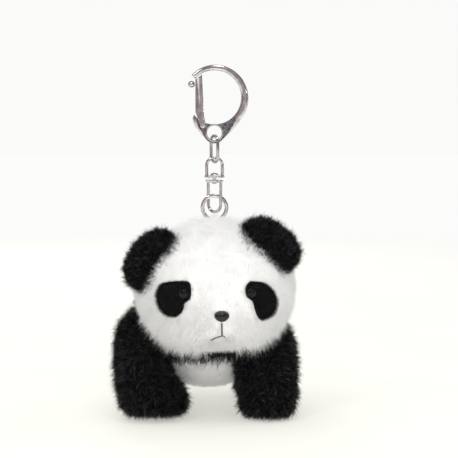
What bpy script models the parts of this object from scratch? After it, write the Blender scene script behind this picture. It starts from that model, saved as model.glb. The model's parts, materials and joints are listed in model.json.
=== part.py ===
"""Plush panda keychain: a lever snap hook, a link, a swivel and a split ring carry a sewn panda.

Metres, +Z up. The origin is the point inside the top of the hook where a bag's loop lies.
Everything hangs straight below it. The panda faces -Y, and +X is its left side.
"""

from math import cos, pi, radians, sin

import bmesh
import bpy
from mathutils import Matrix, Vector

MM = 0.001

# Clearances
GAP = 0.30 * MM
FINE_GAP = 0.15 * MM
WELD = 0.002 * MM
THROUGH = 4.0 * MM
PAST_THE_GATE = 30.0 * MM

# Snap hook, a plate in the XZ plane that is thinner round the gate's foot and the link's hole
EYE_RADIUS = 11.85 * MM
EYE_Z = -EYE_RADIUS
HOOK_THICKNESS = 3.0 * MM
HOOK_BEVEL = 0.6 * MM
WIDTH_AT_NOSE = 2.2 * MM
WIDTH_AT_SIDE = 3.3 * MM
NOSE_ANGLE = radians(136)
TAPER_END_ANGLE = radians(-24)
TAIL_ANGLE = radians(-140)
WEB_THICKNESS = 1.8 * MM
BOSS_RADIUS = 4.7 * MM
LINK_HOLE_RADIUS = 3.3 * MM
LINK_HOLE_Z = -27.5 * MM
RIM_CENTRE_Z = -31.4 * MM

# Gate, a folded channel that turns on a pin near the bottom of the hook
GATE_PIVOT = Vector((-5.1, 0.0, -24.2)) * MM
GATE_OUTER_X = -8.4 * MM
GATE_WEB = 0.5 * MM
GATE_FOOT_Z = -18.4 * MM
GATE_EYE_RADIUS = 1.25 * MM
SPRING_SLOT = 0.85 * MM
PIN_RADIUS = 0.45 * MM
PIN_LENGTH = 3.4 * MM
SPRING_WIRE_RADIUS = 0.14 * MM
SPRING_COIL_RADIUS = 0.8 * MM
SPRING_TURNS = 1.25
SPRING_SIDEWAYS = 0.2 * MM
SPRING_LEG_END = Vector((-7.55, 0.2, -17.2)) * MM
SPRING_TAIL = Vector((0.9, 0.0, 0.0)) * MM
BALL_RADIUS = 1.55 * MM
BALL_X = -10.1 * MM
BALL_Z = -6.1 * MM
STEM_RADIUS = 0.6 * MM
STEM_HEAD_RADIUS = 0.9 * MM
STEM_HEAD_HEIGHT = 0.4 * MM

# Chain link
LINK_WIRE_RADIUS = 0.75 * MM
LINK_BEND_RADIUS = 2.55 * MM
LINK_BOTTOM_Z = -41.2 * MM
LINK_YAW = radians(35)  # the near strand stands to the panda's left

# Swivel: two bows joined by a rivet
BOW_WIRE_RADIUS = 0.68 * MM
BOW_LEG_X = 3.45 * MM
BASE_LENGTH = 8.8 * MM
BASE_WIDTH = 3.4 * MM
BASE_HEIGHT = 1.1 * MM
BASE_BEVEL = 0.2 * MM
UPPER_BOW_TOP_Z = -37.8 * MM
UPPER_BASE_Z = -46.85 * MM
LOWER_BASE_Z = -48.85 * MM
LOWER_BOW_BOTTOM_Z = -63.3 * MM
LOWER_BOW_YAW = radians(-37)
RIVET_RADIUS = 0.8 * MM
RIVET_HEAD_RADIUS = 1.8 * MM
RIVET_HEAD_HEIGHT = 1.0 * MM
RIVET_TAIL_RADIUS = 1.45 * MM
RIVET_TAIL_HEIGHT = 0.6 * MM

# Split ring, nearly two turns of flat wire
RING_Z = -60.7 * MM
RING_OUTER_RADIUS = 6.15 * MM
RING_WIRE_WIDTH = 1.6 * MM
RING_WIRE_DEPTH = 0.8 * MM
RING_PITCH = 0.92 * MM
RING_TURNS = 1.88
RING_CROSSOVER = 0.10  # share of a turn in which the wire steps from the front turn to the back one
RING_START = radians(25)

# Ribbon loop sewn into the crown
RIBBON_WIDTH = 3.4 * MM
RIBBON_THICKNESS = 0.7 * MM
RIBBON_INNER_RADIUS = 1.6 * MM
RIBBON_END_Z = -76.0 * MM

# Plush
SOLE_Z = -153.0 * MM
PILE = 2.5 * MM
STUFFING_INSET = PILE + 0.8 * MM
HEAD_POWER = 2.2
HEAD_CENTRE = Vector((0.0, -15.0, -94.2)) * MM
HEAD_RADII = Vector((35.2, 28.5, 27.4)) * MM
NECK_AXIS = Vector((0.0, 0.75, -0.66))
NECK_HALF_ANGLE = radians(28)
YOKE_CENTRE = Vector((-4.0, 3.0, -108.5)) * MM
YOKE_RADII = Vector((33.0, 20.0, 19.0)) * MM
YOKE_REAR_HALF_ANGLE = radians(48)
TORSO_CENTRE = Vector((-3.0, 22.0, -117.0)) * MM
TORSO_RADII = Vector((30.0, 33.0, 25.4)) * MM
TORSO_MOUTH_HALF_ANGLE = radians(20)
BACKWARD = Vector((0.0, 1.0, 0.0))
EAR_RADII = Vector((15.4, 7.2, 11.6)) * MM
EARS = {"left": ((23.4, -26.0, -75.9), radians(40)), "right": ((-26.2, -26.0, -81.6), radians(-56))}
TAIL_RADII = Vector((8.0, 6.5, 7.0)) * MM
TAIL_CENTRE = Vector((-3.0, 55.0, -106.0)) * MM

# Legs: middle of the sole and of the top, radii across X and Y, and height, in millimetres
FRONT_LEGS = {
    "left": {"sole": (23.6, -11.0, 0.0), "top": (23.2, -4.0, 0.0), "radii": (13.4, 14.0), "height": 43.0},
    "right": {"sole": (-26.6, -14.0, 0.0), "top": (-31.0, -4.0, 0.0), "radii": (14.2, 14.5), "height": 46.0},
}
HIND_LEGS = {
    "left": {"sole": (23.0, 40.0, 0.0), "top": (19.0, 35.0, 0.0), "radii": (12.0, 12.5), "height": 38.0},
    "right": {"sole": (-28.0, 40.0, 0.0), "top": (-25.0, 35.0, 0.0), "radii": (12.0, 12.5), "height": 38.0},
}
# How full a leg is from its sole to its top: share of the height, share of the radius
LEG_FULLNESS = ((0.0, 0.82), (0.06, 0.94), (0.18, 1.0), (0.42, 1.0), (0.64, 0.97), (0.82, 0.83), (0.95, 0.5))

# Face, as (x, z) on the front of the head, in millimetres
EYES = {"left": (15.0, -93.6), "right": (-12.3, -94.0)}
PATCHES = {"left": (19.0, -97.4), "right": (-17.0, -97.0)}
PATCH_TILTS = {"left": radians(-24), "right": radians(24)}
PATCH_RADII = (6.7 * MM, 7.9 * MM)
PATCH_THICKNESS = 0.8 * MM
PATCH_CORNERS = 24
BEAD_RADIUS = 2.1 * MM
BEAD_HEIGHT = 1.4 * MM
DOME_STEPS = 6
NOSE = (3.1, -103.6)
NOSE_HALF_HEIGHT = 2.3 * MM
NOSE_WIDENING = 1.42
NOSE_HEIGHT = 2.2 * MM
SHANK_RADIUS = 0.6 * MM
SHANK_LENGTH = 4.6 * MM
WASHER_RADIUS = 2.6 * MM
WASHER_THICKNESS = 0.7 * MM
WASHER_SETBACK = 0.9 * MM
THREAD_RADIUS = 0.3 * MM
MOUTH_TOP_Z = -107.2
MOUTH_FORK_Z = -111.3
MOUTH_CORNERS = ((-1.9, -113.6), (6.0, -113.0))
BRANCH_RISE = 0.3

# Finishes: colour, roughness, metallic
FINISHES = {
    "nickel": ((0.80, 0.79, 0.77, 1.0), 0.16, 1.0),
    "spring_steel": ((0.55, 0.54, 0.52, 1.0), 0.30, 1.0),
    "white_pile": ((0.90, 0.89, 0.87, 1.0), 0.95, 0.0),
    "black_pile": ((0.022, 0.020, 0.021, 1.0), 0.90, 0.0),
    "black_felt": ((0.018, 0.016, 0.018, 1.0), 0.95, 0.0),
    "black_gloss": ((0.010, 0.009, 0.009, 1.0), 0.08, 0.0),
    "nose_gloss": ((0.045, 0.038, 0.036, 1.0), 0.25, 0.0),
    "washer_plastic": ((0.75, 0.74, 0.72, 1.0), 0.50, 0.0),
    "white_ribbon": ((0.88, 0.87, 0.85, 1.0), 0.80, 0.0),
    "brown_thread": ((0.060, 0.045, 0.042, 1.0), 0.85, 0.0),
    "fibre_fill": ((0.93, 0.93, 0.93, 1.0), 1.0, 0.0),
}


# ---------------------------------------------------------------- helpers


def clear_scene():
    for old in list(bpy.data.objects):
        bpy.data.objects.remove(old, do_unlink=True)


def finish_named(name):
    """The named finish as a Principled material, made once."""
    if name in bpy.data.materials:
        return bpy.data.materials[name]
    colour, roughness, metallic = FINISHES[name]
    made = bpy.data.materials.new(name)
    made.use_nodes = True
    shader = made.node_tree.nodes["Principled BSDF"]
    shader.inputs["Base Color"].default_value = colour
    shader.inputs["Roughness"].default_value = roughness
    shader.inputs["Metallic"].default_value = metallic
    made.diffuse_color = colour
    return made


def sub_part(name, mesh, finish, origin=(0.0, 0.0, 0.0)):
    """An object from a mesh in world coordinates, with its origin moved to the given point."""
    mesh.transform(Matrix.Translation(-Vector(origin)))
    mesh.shade_smooth()
    mesh.set_sharp_from_angle(angle=radians(35))
    mesh.materials.append(finish_named(finish))
    made = bpy.data.objects.new(name, mesh)
    made.location = origin
    bpy.context.scene.collection.objects.link(made)
    return made


def helper(name, mesh):
    """A solid that shapes other objects and isn't part of the model."""
    made = bpy.data.objects.new(name, mesh)
    bpy.context.scene.collection.objects.link(made)
    made.hide_render = True
    made.display_type = "WIRE"
    return made


def combine(target, operation, *others, solver="EXACT"):
    for other in others:
        step = target.modifiers.new(operation.lower(), "BOOLEAN")
        step.object = other
        step.operation = operation
        step.solver = solver


def mesh_from(bm, name):
    bmesh.ops.recalc_face_normals(bm, faces=bm.faces)
    mesh = bpy.data.meshes.new(name)
    bm.to_mesh(mesh)
    bm.free()
    return mesh


def mesh_of_curve(data, name):
    """A curve's surface as a mesh of its own, with the seams between caps and sides closed."""
    holder = bpy.data.objects.new(name, data)
    bpy.context.scene.collection.objects.link(holder)
    bpy.context.view_layer.update()
    graph = bpy.context.evaluated_depsgraph_get()
    rough = bpy.data.meshes.new_from_object(holder.evaluated_get(graph))
    bpy.data.objects.remove(holder)
    bm = bmesh.new()
    bm.from_mesh(rough)
    bpy.data.meshes.remove(rough)
    bmesh.ops.remove_doubles(bm, verts=bm.verts, dist=WELD)
    return mesh_from(bm, name)


def add_spline(data, points, closed):
    spline = data.splines.new("POLY")
    spline.points.add(len(points) - 1)
    for corner, point in zip(spline.points, points):
        corner.co = (*point, 1.0)
    spline.use_cyclic_u = closed


def plate(name, outlines, thickness, bevel=0.0):
    """A plate centred on y = 0 from outlines in (x, z); every outline after the first is a hole."""
    data = bpy.data.curves.new(name, "CURVE")
    data.dimensions = "2D"
    data.fill_mode = "BOTH"
    data.extrude = thickness / 2 - bevel
    data.bevel_depth = bevel
    data.bevel_resolution = 1
    data.offset = -bevel
    for outline in outlines:
        add_spline(data, [(across, up, 0.0) for across, up in outline], closed=True)
    mesh = mesh_of_curve(data, name)
    mesh.transform(Matrix.Rotation(radians(90), 4, "X"))
    return mesh


def tube(name, points, radius, closed=False, roundness=2):
    """A round wire along 3-D points."""
    data = bpy.data.curves.new(name, "CURVE")
    data.dimensions = "3D"
    data.bevel_depth = radius
    data.bevel_resolution = roundness
    data.use_fill_caps = True
    add_spline(data, points, closed)
    return mesh_of_curve(data, name)


def arc(centre, radius, start, end, steps):
    """Points on an arc in a plane, ends included; a pair of radii is blended along the arc."""
    first, last = radius if isinstance(radius, tuple) else (radius, radius)
    points = []
    for step in range(steps + 1):
        share = step / steps
        angle = start + (end - start) * share
        reach = first + (last - first) * share
        points.append((centre[0] + reach * cos(angle), centre[1] + reach * sin(angle)))
    return points


def circle(centre, radius, steps):
    return arc(centre, radius, 0.0, 2 * pi, steps)[:-1]


def in_mm(corners):
    return [(across * MM, up * MM) for across, up in corners]


def shifted(mesh, offset):
    mesh.transform(Matrix.Translation(offset))
    return mesh


def bar(name, start, end, radius, segments=16):
    """A round bar between two points."""
    start, end = Vector(start), Vector(end)
    bm = bmesh.new()
    length = (end - start).length
    bmesh.ops.create_cone(bm, cap_ends=True, segments=segments, radius1=radius, radius2=radius, depth=length)
    turn = (end - start).to_track_quat("Z", "Y").to_matrix().to_4x4()
    bmesh.ops.transform(bm, matrix=Matrix.Translation((start + end) / 2) @ turn, verts=bm.verts)
    return mesh_from(bm, name)


def turned(name, profile, segments=20):
    """A solid of revolution about Z from (radius, z) points that start and end on the axis."""
    bm = bmesh.new()
    corners = [bm.verts.new((reach, 0.0, height)) for reach, height in profile]
    edges = [bm.edges.new(pair) for pair in zip(corners, corners[1:])]
    bmesh.ops.spin(
        bm, geom=corners + edges, cent=(0, 0, 0), axis=(0, 0, 1), angle=2 * pi, steps=segments, use_merge=True
    )
    bmesh.ops.remove_doubles(bm, verts=bm.verts, dist=WELD)
    return mesh_from(bm, name)


def soft_point(direction, centre, radii, power, grow=0.0):
    """Where a ray from the centre meets a rounded-box form grown by a margin."""
    size = sum(abs(part / (reach + grow)) ** power for part, reach in zip(direction, radii))
    return Vector(centre) + Vector(direction) * size ** (-1 / power)


def soft_form(name, centre, radii, power=2.0, grow=0.0, segments=20, rings=12):
    """A closed soft form: a ball pulled out to a rounded box."""
    bm = bmesh.new()
    bmesh.ops.create_uvsphere(bm, u_segments=segments, v_segments=rings, radius=1.0)
    for corner in bm.verts:
        corner.co = soft_point(corner.co.normalized(), centre, radii, power, grow)
    return mesh_from(bm, name)


def opened(mesh, centre, axis, half_angle):
    """Takes away the faces round an axis from the centre, which leaves a mouth to sew or fill through."""
    bm = bmesh.new()
    bm.from_mesh(mesh)
    round_mouth = [f for f in bm.faces if (f.calc_center_median() - centre).angle(axis) < half_angle]
    bmesh.ops.delete(bm, geom=round_mouth, context="FACES")
    bm.to_mesh(mesh)
    bm.free()
    return mesh


def give_wall(target, thickness=PILE):
    wall = target.modifiers.new("wall", "SOLIDIFY")
    wall.thickness = thickness
    wall.offset = -1.0
    wall.use_even_offset = True


def limb_form(name, limb, inset=0.0, segments=16):
    """A leg as a closed column: flat sole, full middle and domed top."""
    height = limb["height"] * MM - 2 * inset
    half_x, half_y = (reach * MM - inset for reach in limb["radii"])
    sole, top = Vector(limb["sole"]) * MM, Vector(limb["top"]) * MM
    bm = bmesh.new()
    loops = []
    for share, fullness in LEG_FULLNESS:
        middle = sole.lerp(top, share)
        corners = [
            (middle.x + half_x * fullness * cos(turn), middle.y + half_y * fullness * sin(turn))
            for turn in (2 * pi * step / segments for step in range(segments))
        ]
        level = SOLE_Z + inset + height * share
        loops.append([bm.verts.new((across, along, level)) for across, along in corners])
    bm.faces.new(loops[0])
    bm.faces.new(loops[-1])
    for lower, upper in zip(loops, loops[1:]):
        for step in range(segments):
            after = (step + 1) % segments
            bm.faces.new((lower[step], lower[after], upper[after], upper[step]))
    return mesh_from(bm, name)


def on_face(spot, lift=0.0):
    """The point on the front of the head at (x, z) in millimetres, lifted off it, and its normal."""
    across, up = spot[0] * MM - HEAD_CENTRE.x, spot[1] * MM - HEAD_CENTRE.z
    used = abs(across / HEAD_RADII.x) ** HEAD_POWER + abs(up / HEAD_RADII.z) ** HEAD_POWER
    local = Vector((across, -HEAD_RADII.y * (1 - used) ** (1 / HEAD_POWER), up))
    slopes = [
        (1 if part > 0 else -1) * abs(part / reach) ** (HEAD_POWER - 1) / reach
        for part, reach in zip(local, HEAD_RADII)
    ]
    normal = Vector(slopes).normalized()
    return HEAD_CENTRE + local + normal * lift, normal


def facing(point, normal):
    """The placement that stands a Z-up shape on a surface point, with its Y close to world up."""
    side = Vector((0, 0, 1)).cross(normal).normalized()
    up = normal.cross(side)
    turn = Matrix((side, up, normal)).transposed().to_4x4()
    return Matrix.Translation(point) @ turn


# ---------------------------------------------------------------- snap hook


def hook_outline():
    """The C-shaped hook with its boss, clockwise from the nose and back along the eye."""
    eye = (0.0, EYE_Z)
    outer_radii = (EYE_RADIUS + WIDTH_AT_NOSE, EYE_RADIUS + WIDTH_AT_SIDE)
    points = arc(eye, outer_radii, NOSE_ANGLE, TAPER_END_ANGLE, 26)
    points += in_mm([(10.9, -22.7), (7.4, -27.0)])
    points += arc((0.0, LINK_HOLE_Z), BOSS_RADIUS, radians(-42), radians(-140), 8)
    points += in_mm([(-5.9, -28.0), (-7.8, -25.6), (-9.2, -23.2), (-9.6, -21.0)])
    points += arc(eye, EYE_RADIUS, TAIL_ANGLE, NOSE_ANGLE, 36)
    return points


def web_outline():
    """The sunken web: round the gate's foot, across below the eye and down past the link's hole."""
    return in_mm(
        [
            (-7.9, -15.0), (-7.9, -21.8), (-6.9, -25.6), (-5.6, -26.8), (-4.4, -30.0), (-4.4, -34.0),
            (4.4, -34.0), (4.4, -30.2), (8.2, -24.6), (10.2, -19.6), (9.0, -15.0),
        ]
    )  # fmt: skip


def spring_slot_outline():
    """The slot between the two cheeks, in which the spring sits round the pin."""
    return in_mm([(-7.7, -14.0), (-7.7, -21.9), (-6.7, -25.4), (-3.9, -25.4), (-3.4, -23.0), (-3.4, -14.0)])


def clasp_body():
    """Cast hook: C-shaped eye for a bag's loop, sunken web, link hole and spring slot."""
    hole = circle((0.0, LINK_HOLE_Z), LINK_HOLE_RADIUS, 20)
    mesh = plate("clasp_body", [hook_outline(), hole], HOOK_THICKNESS, HOOK_BEVEL)
    body = sub_part("clasp_body", mesh, "nickel")
    slot = helper("slot_cutter", plate("slot", [spring_slot_outline()], SPRING_SLOT))
    combine(body, "DIFFERENCE", slot, pin_hole_cutter())
    sunk_depth = HOOK_THICKNESS - WEB_THICKNESS
    for side in (-1, 1):
        sunk = shifted(plate("web", [web_outline()], sunk_depth), (0, side * HOOK_THICKNESS / 2, 0))
        combine(body, "DIFFERENCE", helper(f"web_cutter_{side + 1}", sunk), solver="MANIFOLD")


def pin_hole_cutter():
    reach = Vector((0.0, THROUGH, 0.0))
    mesh = bar("pin_cutter", GATE_PIVOT - reach, GATE_PIVOT + reach, PIN_RADIUS + FINE_GAP)
    return helper("pin_cutter", mesh)


def gate_outline():
    """One side of the gate: a strip that narrows to the eye round the pin."""
    top = arc((0.0, EYE_Z), EYE_RADIUS - GAP, radians(118.4), radians(136.6), 3)
    foot = arc((GATE_PIVOT.x, GATE_PIVOT.z), GATE_EYE_RADIUS, radians(-190), radians(18), 9)
    return top + in_mm([(GATE_OUTER_X / MM, GATE_FOOT_Z / MM)]) + foot + in_mm([(-4.6, -20.0)])


def clasp_gate():
    """Folded sheet channel whose top closes against the inside of the hook's nose."""
    gate = sub_part(
        "clasp_gate", plate("clasp_gate", [gate_outline()], HOOK_THICKNESS, 0.0), "nickel", origin=GATE_PIVOT
    )
    inner_x = GATE_OUTER_X + GATE_WEB
    beyond = -PAST_THE_GATE
    inside = [(inner_x, 0.0), (0.0, 0.0), (0.0, beyond), (beyond, beyond)]
    inside += [(beyond, GATE_FOOT_Z), (inner_x, GATE_FOOT_Z)]
    hollow = helper("gate_hollow", plate("gate_hollow", [inside], WEB_THICKNESS + 2 * FINE_GAP))
    ball_seat = Vector((BALL_X, 0.0, BALL_Z))
    stem_hole = bar("stem_hole", ball_seat, ball_seat + Vector((THROUGH, 0, 0)), STEM_RADIUS + FINE_GAP)
    combine(gate, "DIFFERENCE", hollow, pin_hole_cutter(), helper("stem_hole", stem_hole))


def thumb_ball():
    """Ball on a stem that is riveted through the gate's web."""
    ball = arc((0.0, 0.0), BALL_RADIUS, radians(90), radians(-66), 8)
    head_z = BALL_X - GATE_OUTER_X - GATE_WEB - FINE_GAP
    profile = [(0.0, BALL_RADIUS), *ball[1:], (STEM_RADIUS, head_z), (STEM_HEAD_RADIUS, head_z)]
    profile += [(STEM_HEAD_RADIUS, head_z - STEM_HEAD_HEIGHT), (0.0, head_z - STEM_HEAD_HEIGHT)]
    mesh = turned("thumb_ball", profile, 16)
    mesh.transform(Matrix.Translation((BALL_X, 0, BALL_Z)) @ Matrix.Rotation(radians(-90), 4, "Y"))
    sub_part("thumb_ball", mesh, "nickel", origin=GATE_PIVOT)


def gate_pin():
    half = Vector((0.0, PIN_LENGTH / 2, 0.0))
    mesh = bar("gate_pin", GATE_PIVOT - half, GATE_PIVOT + half, PIN_RADIUS)
    sub_part("gate_pin", mesh, "nickel", origin=GATE_PIVOT)


def gate_spring():
    """Torsion spring round the pin: one leg lies behind the gate's web, the other in the slot."""
    steps = 18
    coil = []
    for step in range(steps + 1):
        share = step / steps
        angle = pi + 2 * pi * SPRING_TURNS * share
        sideways = SPRING_SIDEWAYS * (1 - 2 * share)
        spot = Vector((SPRING_COIL_RADIUS * cos(angle), sideways, SPRING_COIL_RADIUS * sin(angle)))
        coil.append(GATE_PIVOT + spot)
    points = [SPRING_LEG_END, *coil, coil[-1] + SPRING_TAIL]
    mesh = tube("gate_spring", points, SPRING_WIRE_RADIUS, roundness=0)
    sub_part("gate_spring", mesh, "spring_steel", origin=GATE_PIVOT)


# ---------------------------------------------------------------- link, swivel and split ring


def chain_link():
    """Oval link that hangs in the hook's hole."""
    top, bottom = RIM_CENTRE_Z, LINK_BOTTOM_Z + LINK_WIRE_RADIUS + LINK_BEND_RADIUS
    path = arc((0.0, top), LINK_BEND_RADIUS, 0.0, pi, 8) + arc((0.0, bottom), LINK_BEND_RADIUS, pi, 2 * pi, 8)
    points = [(0.0, along, up) for along, up in path]
    mesh = tube("chain_link", points, LINK_WIRE_RADIUS, closed=True)
    mesh.transform(Matrix.Rotation(LINK_YAW, 4, "Z"))
    sub_part("chain_link", mesh, "nickel", origin=(0.0, 0.0, RIM_CENTRE_Z))


def bow(name, base_z, tip_z, hole_radius, yaw, origin):
    """A wire bow on a flat base with a hole for the rivet; the tip is above or below the base."""
    side = 1 if tip_z > base_z else -1
    bend_z = tip_z - side * (BOW_WIRE_RADIUS + BOW_LEG_X)
    bend = arc((0.0, bend_z), BOW_LEG_X, 0.0, side * pi, 10)
    points = [(BOW_LEG_X, 0.0, base_z), *[(x, 0.0, z) for x, z in bend], (-BOW_LEG_X, 0.0, base_z)]
    corner = BASE_WIDTH / 2
    reach = BASE_LENGTH / 2 - corner
    ends = arc((reach, 0.0), corner, -pi / 2, pi / 2, 8) + arc((-reach, 0.0), corner, pi / 2, 3 * pi / 2, 8)
    base_mesh = plate(name, [ends, circle((0.0, 0.0), hole_radius, 16)], BASE_HEIGHT, BASE_BEVEL)
    place = Matrix.Rotation(yaw, 4, "Z") @ Matrix.Translation((0, 0, base_z))
    base_mesh.transform(place @ Matrix.Rotation(radians(90), 4, "X"))
    wire_mesh = tube(name + "_wire", points, BOW_WIRE_RADIUS)
    wire_mesh.transform(Matrix.Rotation(yaw, 4, "Z") @ Matrix.Translation(-Vector(origin)))
    made = sub_part(name, base_mesh, "nickel", origin=origin)
    wire = helper(name + "_wire", wire_mesh)
    wire.parent = made
    combine(made, "UNION", wire)


def swivel_upper_bow():
    pivot = (0.0, 0.0, LINK_BOTTOM_Z + LINK_WIRE_RADIUS)
    bow("swivel_upper_bow", UPPER_BASE_Z, UPPER_BOW_TOP_Z, RIVET_RADIUS + FINE_GAP, 0.0, pivot)


def swivel_lower_bow():
    pivot = (0.0, 0.0, LOWER_BASE_Z)
    hole = RIVET_RADIUS + FINE_GAP
    bow("swivel_lower_bow", LOWER_BASE_Z, LOWER_BOW_BOTTOM_Z, hole, LOWER_BOW_YAW, pivot)


def swivel_rivet():
    """Rivet with a domed head over the upper base and a flat tail under the lower one."""
    head_z = UPPER_BASE_Z + BASE_HEIGHT / 2 + FINE_GAP
    tail_z = LOWER_BASE_Z - BASE_HEIGHT / 2 - FINE_GAP
    profile = [
        (0.0, head_z + RIVET_HEAD_HEIGHT),
        (RIVET_HEAD_RADIUS * 0.6, head_z + RIVET_HEAD_HEIGHT * 0.86),
        (RIVET_HEAD_RADIUS, head_z + RIVET_HEAD_HEIGHT * 0.4),
        (RIVET_HEAD_RADIUS, head_z),
        (RIVET_RADIUS, head_z),
        (RIVET_RADIUS, tail_z),
        (RIVET_TAIL_RADIUS, tail_z),
        (RIVET_TAIL_RADIUS, tail_z - RIVET_TAIL_HEIGHT),
        (0.0, tail_z - RIVET_TAIL_HEIGHT),
    ]
    shape = turned("swivel_rivet", profile, 16)
    sub_part("swivel_rivet", shape, "nickel", origin=(0.0, 0.0, LOWER_BASE_Z))


def ring_step(turned_by):
    """How far the wire has stepped back after so many turns: 0 in the front turn, 1 in the back one."""
    share = (turned_by - (1 - RING_CROSSOVER)) / RING_CROSSOVER
    share = min(max(share, 0.0), 1.0)
    return share * share * (3 - 2 * share)


def split_ring():
    """Flat wire wound nearly twice about Y: a front turn, a short crossover and a back turn."""
    steps = 96
    middle = RING_OUTER_RADIUS - RING_WIRE_WIDTH / 2
    half_width, half_depth = RING_WIRE_WIDTH / 2, RING_WIRE_DEPTH / 2
    bm = bmesh.new()
    loops = []
    for step in range(steps + 1):
        turned_by = RING_TURNS * step / steps
        angle = RING_START - 2 * pi * turned_by
        along = RING_PITCH * (ring_step(turned_by) - 0.5)
        loop = []
        for outward, across in ((-1, -1), (1, -1), (1, 1), (-1, 1)):
            reach = middle + outward * half_width
            spot = (reach * cos(angle), along + across * half_depth, RING_Z + reach * sin(angle))
            loop.append(bm.verts.new(spot))
        loops.append(loop)
    for first, second in zip(loops, loops[1:]):
        for step in range(4):
            after = (step + 1) % 4
            bm.faces.new((first[step], first[after], second[after], second[step]))
    bm.faces.new(loops[0])
    bm.faces.new(loops[-1])
    sub_part("split_ring", mesh_from(bm, "split_ring"), "nickel", origin=(0.0, 0.0, RING_Z))


# ---------------------------------------------------------------- plush


def head_form(name, grow=0.0):
    return soft_form(name, HEAD_CENTRE, HEAD_RADII, HEAD_POWER, grow, 24, 14)


def plush_cutters():
    """The grown outer forms that neighbouring pieces are cut back from."""
    return {
        "head": helper("head_cutter", head_form("head_cutter", GAP)),
        "yoke": helper("yoke_cutter", soft_form("yoke_cutter", YOKE_CENTRE, YOKE_RADII, 2.0, GAP)),
        "torso": helper("torso_cutter", soft_form("torso_cutter", TORSO_CENTRE, TORSO_RADII, 2.0, GAP)),
        "torso_core": helper("torso_core", soft_form("torso_core", TORSO_CENTRE, TORSO_RADII, 2.0, -PILE)),
    }


def ring_bottom():
    return Vector((0.0, 0.0, RING_Z - RING_OUTER_RADIUS + RING_WIRE_WIDTH / 2))


def hanger_ribbon(cutters):
    """Ribbon folded over the bottom of the split ring, with both ends sewn into the crown."""
    centre = (0.0, ring_bottom().z)
    outer_radius = RIBBON_INNER_RADIUS + RIBBON_THICKNESS
    outer = arc(centre, outer_radius, 0.0, pi, 10)
    inner = arc(centre, RIBBON_INNER_RADIUS, pi, 0.0, 10)
    outline = [(outer_radius, RIBBON_END_Z), *outer, (-outer_radius, RIBBON_END_Z)]
    outline += [(-RIBBON_INNER_RADIUS, RIBBON_END_Z), *inner, (RIBBON_INNER_RADIUS, RIBBON_END_Z)]
    mesh = plate("hanger_ribbon", [outline], RIBBON_WIDTH)
    mesh.transform(Matrix.Rotation(radians(90), 4, "Z"))
    ribbon = sub_part("hanger_ribbon", mesh, "white_ribbon", origin=ring_bottom())
    combine(ribbon, "DIFFERENCE", cutters["head"])


def fixings():
    """Where the eyes and the nose go through the head: name to surface point, normal and shank radius."""
    found = {}
    for side, spot in EYES.items():
        found[f"eye_{side}"] = (*on_face(spot), SHANK_RADIUS)
    found["nose"] = (*on_face(NOSE), SHANK_RADIUS * NOSE_WIDENING)
    return found


def shank_cutters():
    made = []
    for name, (point, normal, radius) in fixings().items():
        hole = bar(name, point + normal * THROUGH, point - normal * 2 * THROUGH, radius + FINE_GAP)
        made.append(helper(f"{name}_shank_cutter", hole))
    return made


def washer_pockets():
    """Room in the stuffing for each lock washer and the end of its shank."""
    made = []
    for name, (point, normal, radius) in fixings().items():
        pocket = bar(name, point, point - normal * (SHANK_LENGTH + GAP), WASHER_RADIUS + GAP)
        made.append(helper(f"{name}_washer_pocket", pocket))
    return made


def head_cover(shank_holes):
    """Sewn head skin with its pile, open at the neck and pierced for the eyes and the nose."""
    skin = opened(head_form("head_cover"), HEAD_CENTRE, NECK_AXIS, NECK_HALF_ANGLE)
    head = sub_part("head_cover", skin, "white_pile")
    give_wall(head)
    combine(head, "DIFFERENCE", *shank_holes)


def head_stuffing():
    shape = soft_form("head_stuffing", HEAD_CENTRE, HEAD_RADII, HEAD_POWER, -STUFFING_INSET, 16, 10)
    combine(sub_part("head_stuffing", shape, "fibre_fill"), "DIFFERENCE", *washer_pockets())


def ears(cutters):
    for side, (centre, tilt) in EARS.items():
        shape = soft_form(f"ear_{side}", (0, 0, 0), EAR_RADII, 2.2, 0.0, 18, 10)
        shape.transform(Matrix.Translation(Vector(centre) * MM) @ Matrix.Rotation(tilt, 4, "Y"))
        combine(sub_part(f"ear_{side}", shape, "black_pile"), "DIFFERENCE", cutters["head"])


def eye_patches(cutters, shank_holes):
    """Felt ovals laid on the face; the eye's shank goes through each of them."""
    patch_top = helper("patch_top", head_form("patch_top", GAP + PATCH_THICKNESS))
    patch_under = helper("patch_under", head_form("patch_under", GAP))
    for side, spot in PATCHES.items():
        point, normal = on_face(spot)
        turns = [2 * pi * step / PATCH_CORNERS for step in range(PATCH_CORNERS)]
        oval = [(PATCH_RADII[0] * cos(turn), PATCH_RADII[1] * sin(turn)) for turn in turns]
        prism = plate(f"eye_patch_{side}", [oval], 3 * THROUGH)
        prism.transform(Matrix.Rotation(radians(-90), 4, "X"))
        prism.transform(facing(point, normal) @ Matrix.Rotation(PATCH_TILTS[side], 4, "Z"))
        patch = sub_part(f"eye_patch_{side}", prism, "black_felt")
        combine(patch, "INTERSECT", patch_top)
        combine(patch, "DIFFERENCE", patch_under, *shank_holes)


def bead(name, radius, height, lift, widening, finish):
    """A domed bead with a shank, set on the face."""
    point, normal, _ = fixings()[name]
    turns = [pi / 2 * step / DOME_STEPS for step in range(DOME_STEPS - 1, -1, -1)]
    dome = [(radius * cos(turn), lift + height * sin(turn)) for turn in turns]
    profile = [(0.0, lift + height), *dome, (SHANK_RADIUS, lift), (SHANK_RADIUS, -SHANK_LENGTH)]
    mesh = turned(name, profile + [(0.0, -SHANK_LENGTH)], 16)
    mesh.transform(facing(point, normal) @ Matrix.Diagonal((widening, 1.0, 1.0, 1.0)))
    sub_part(name, mesh, finish, origin=point)


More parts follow.
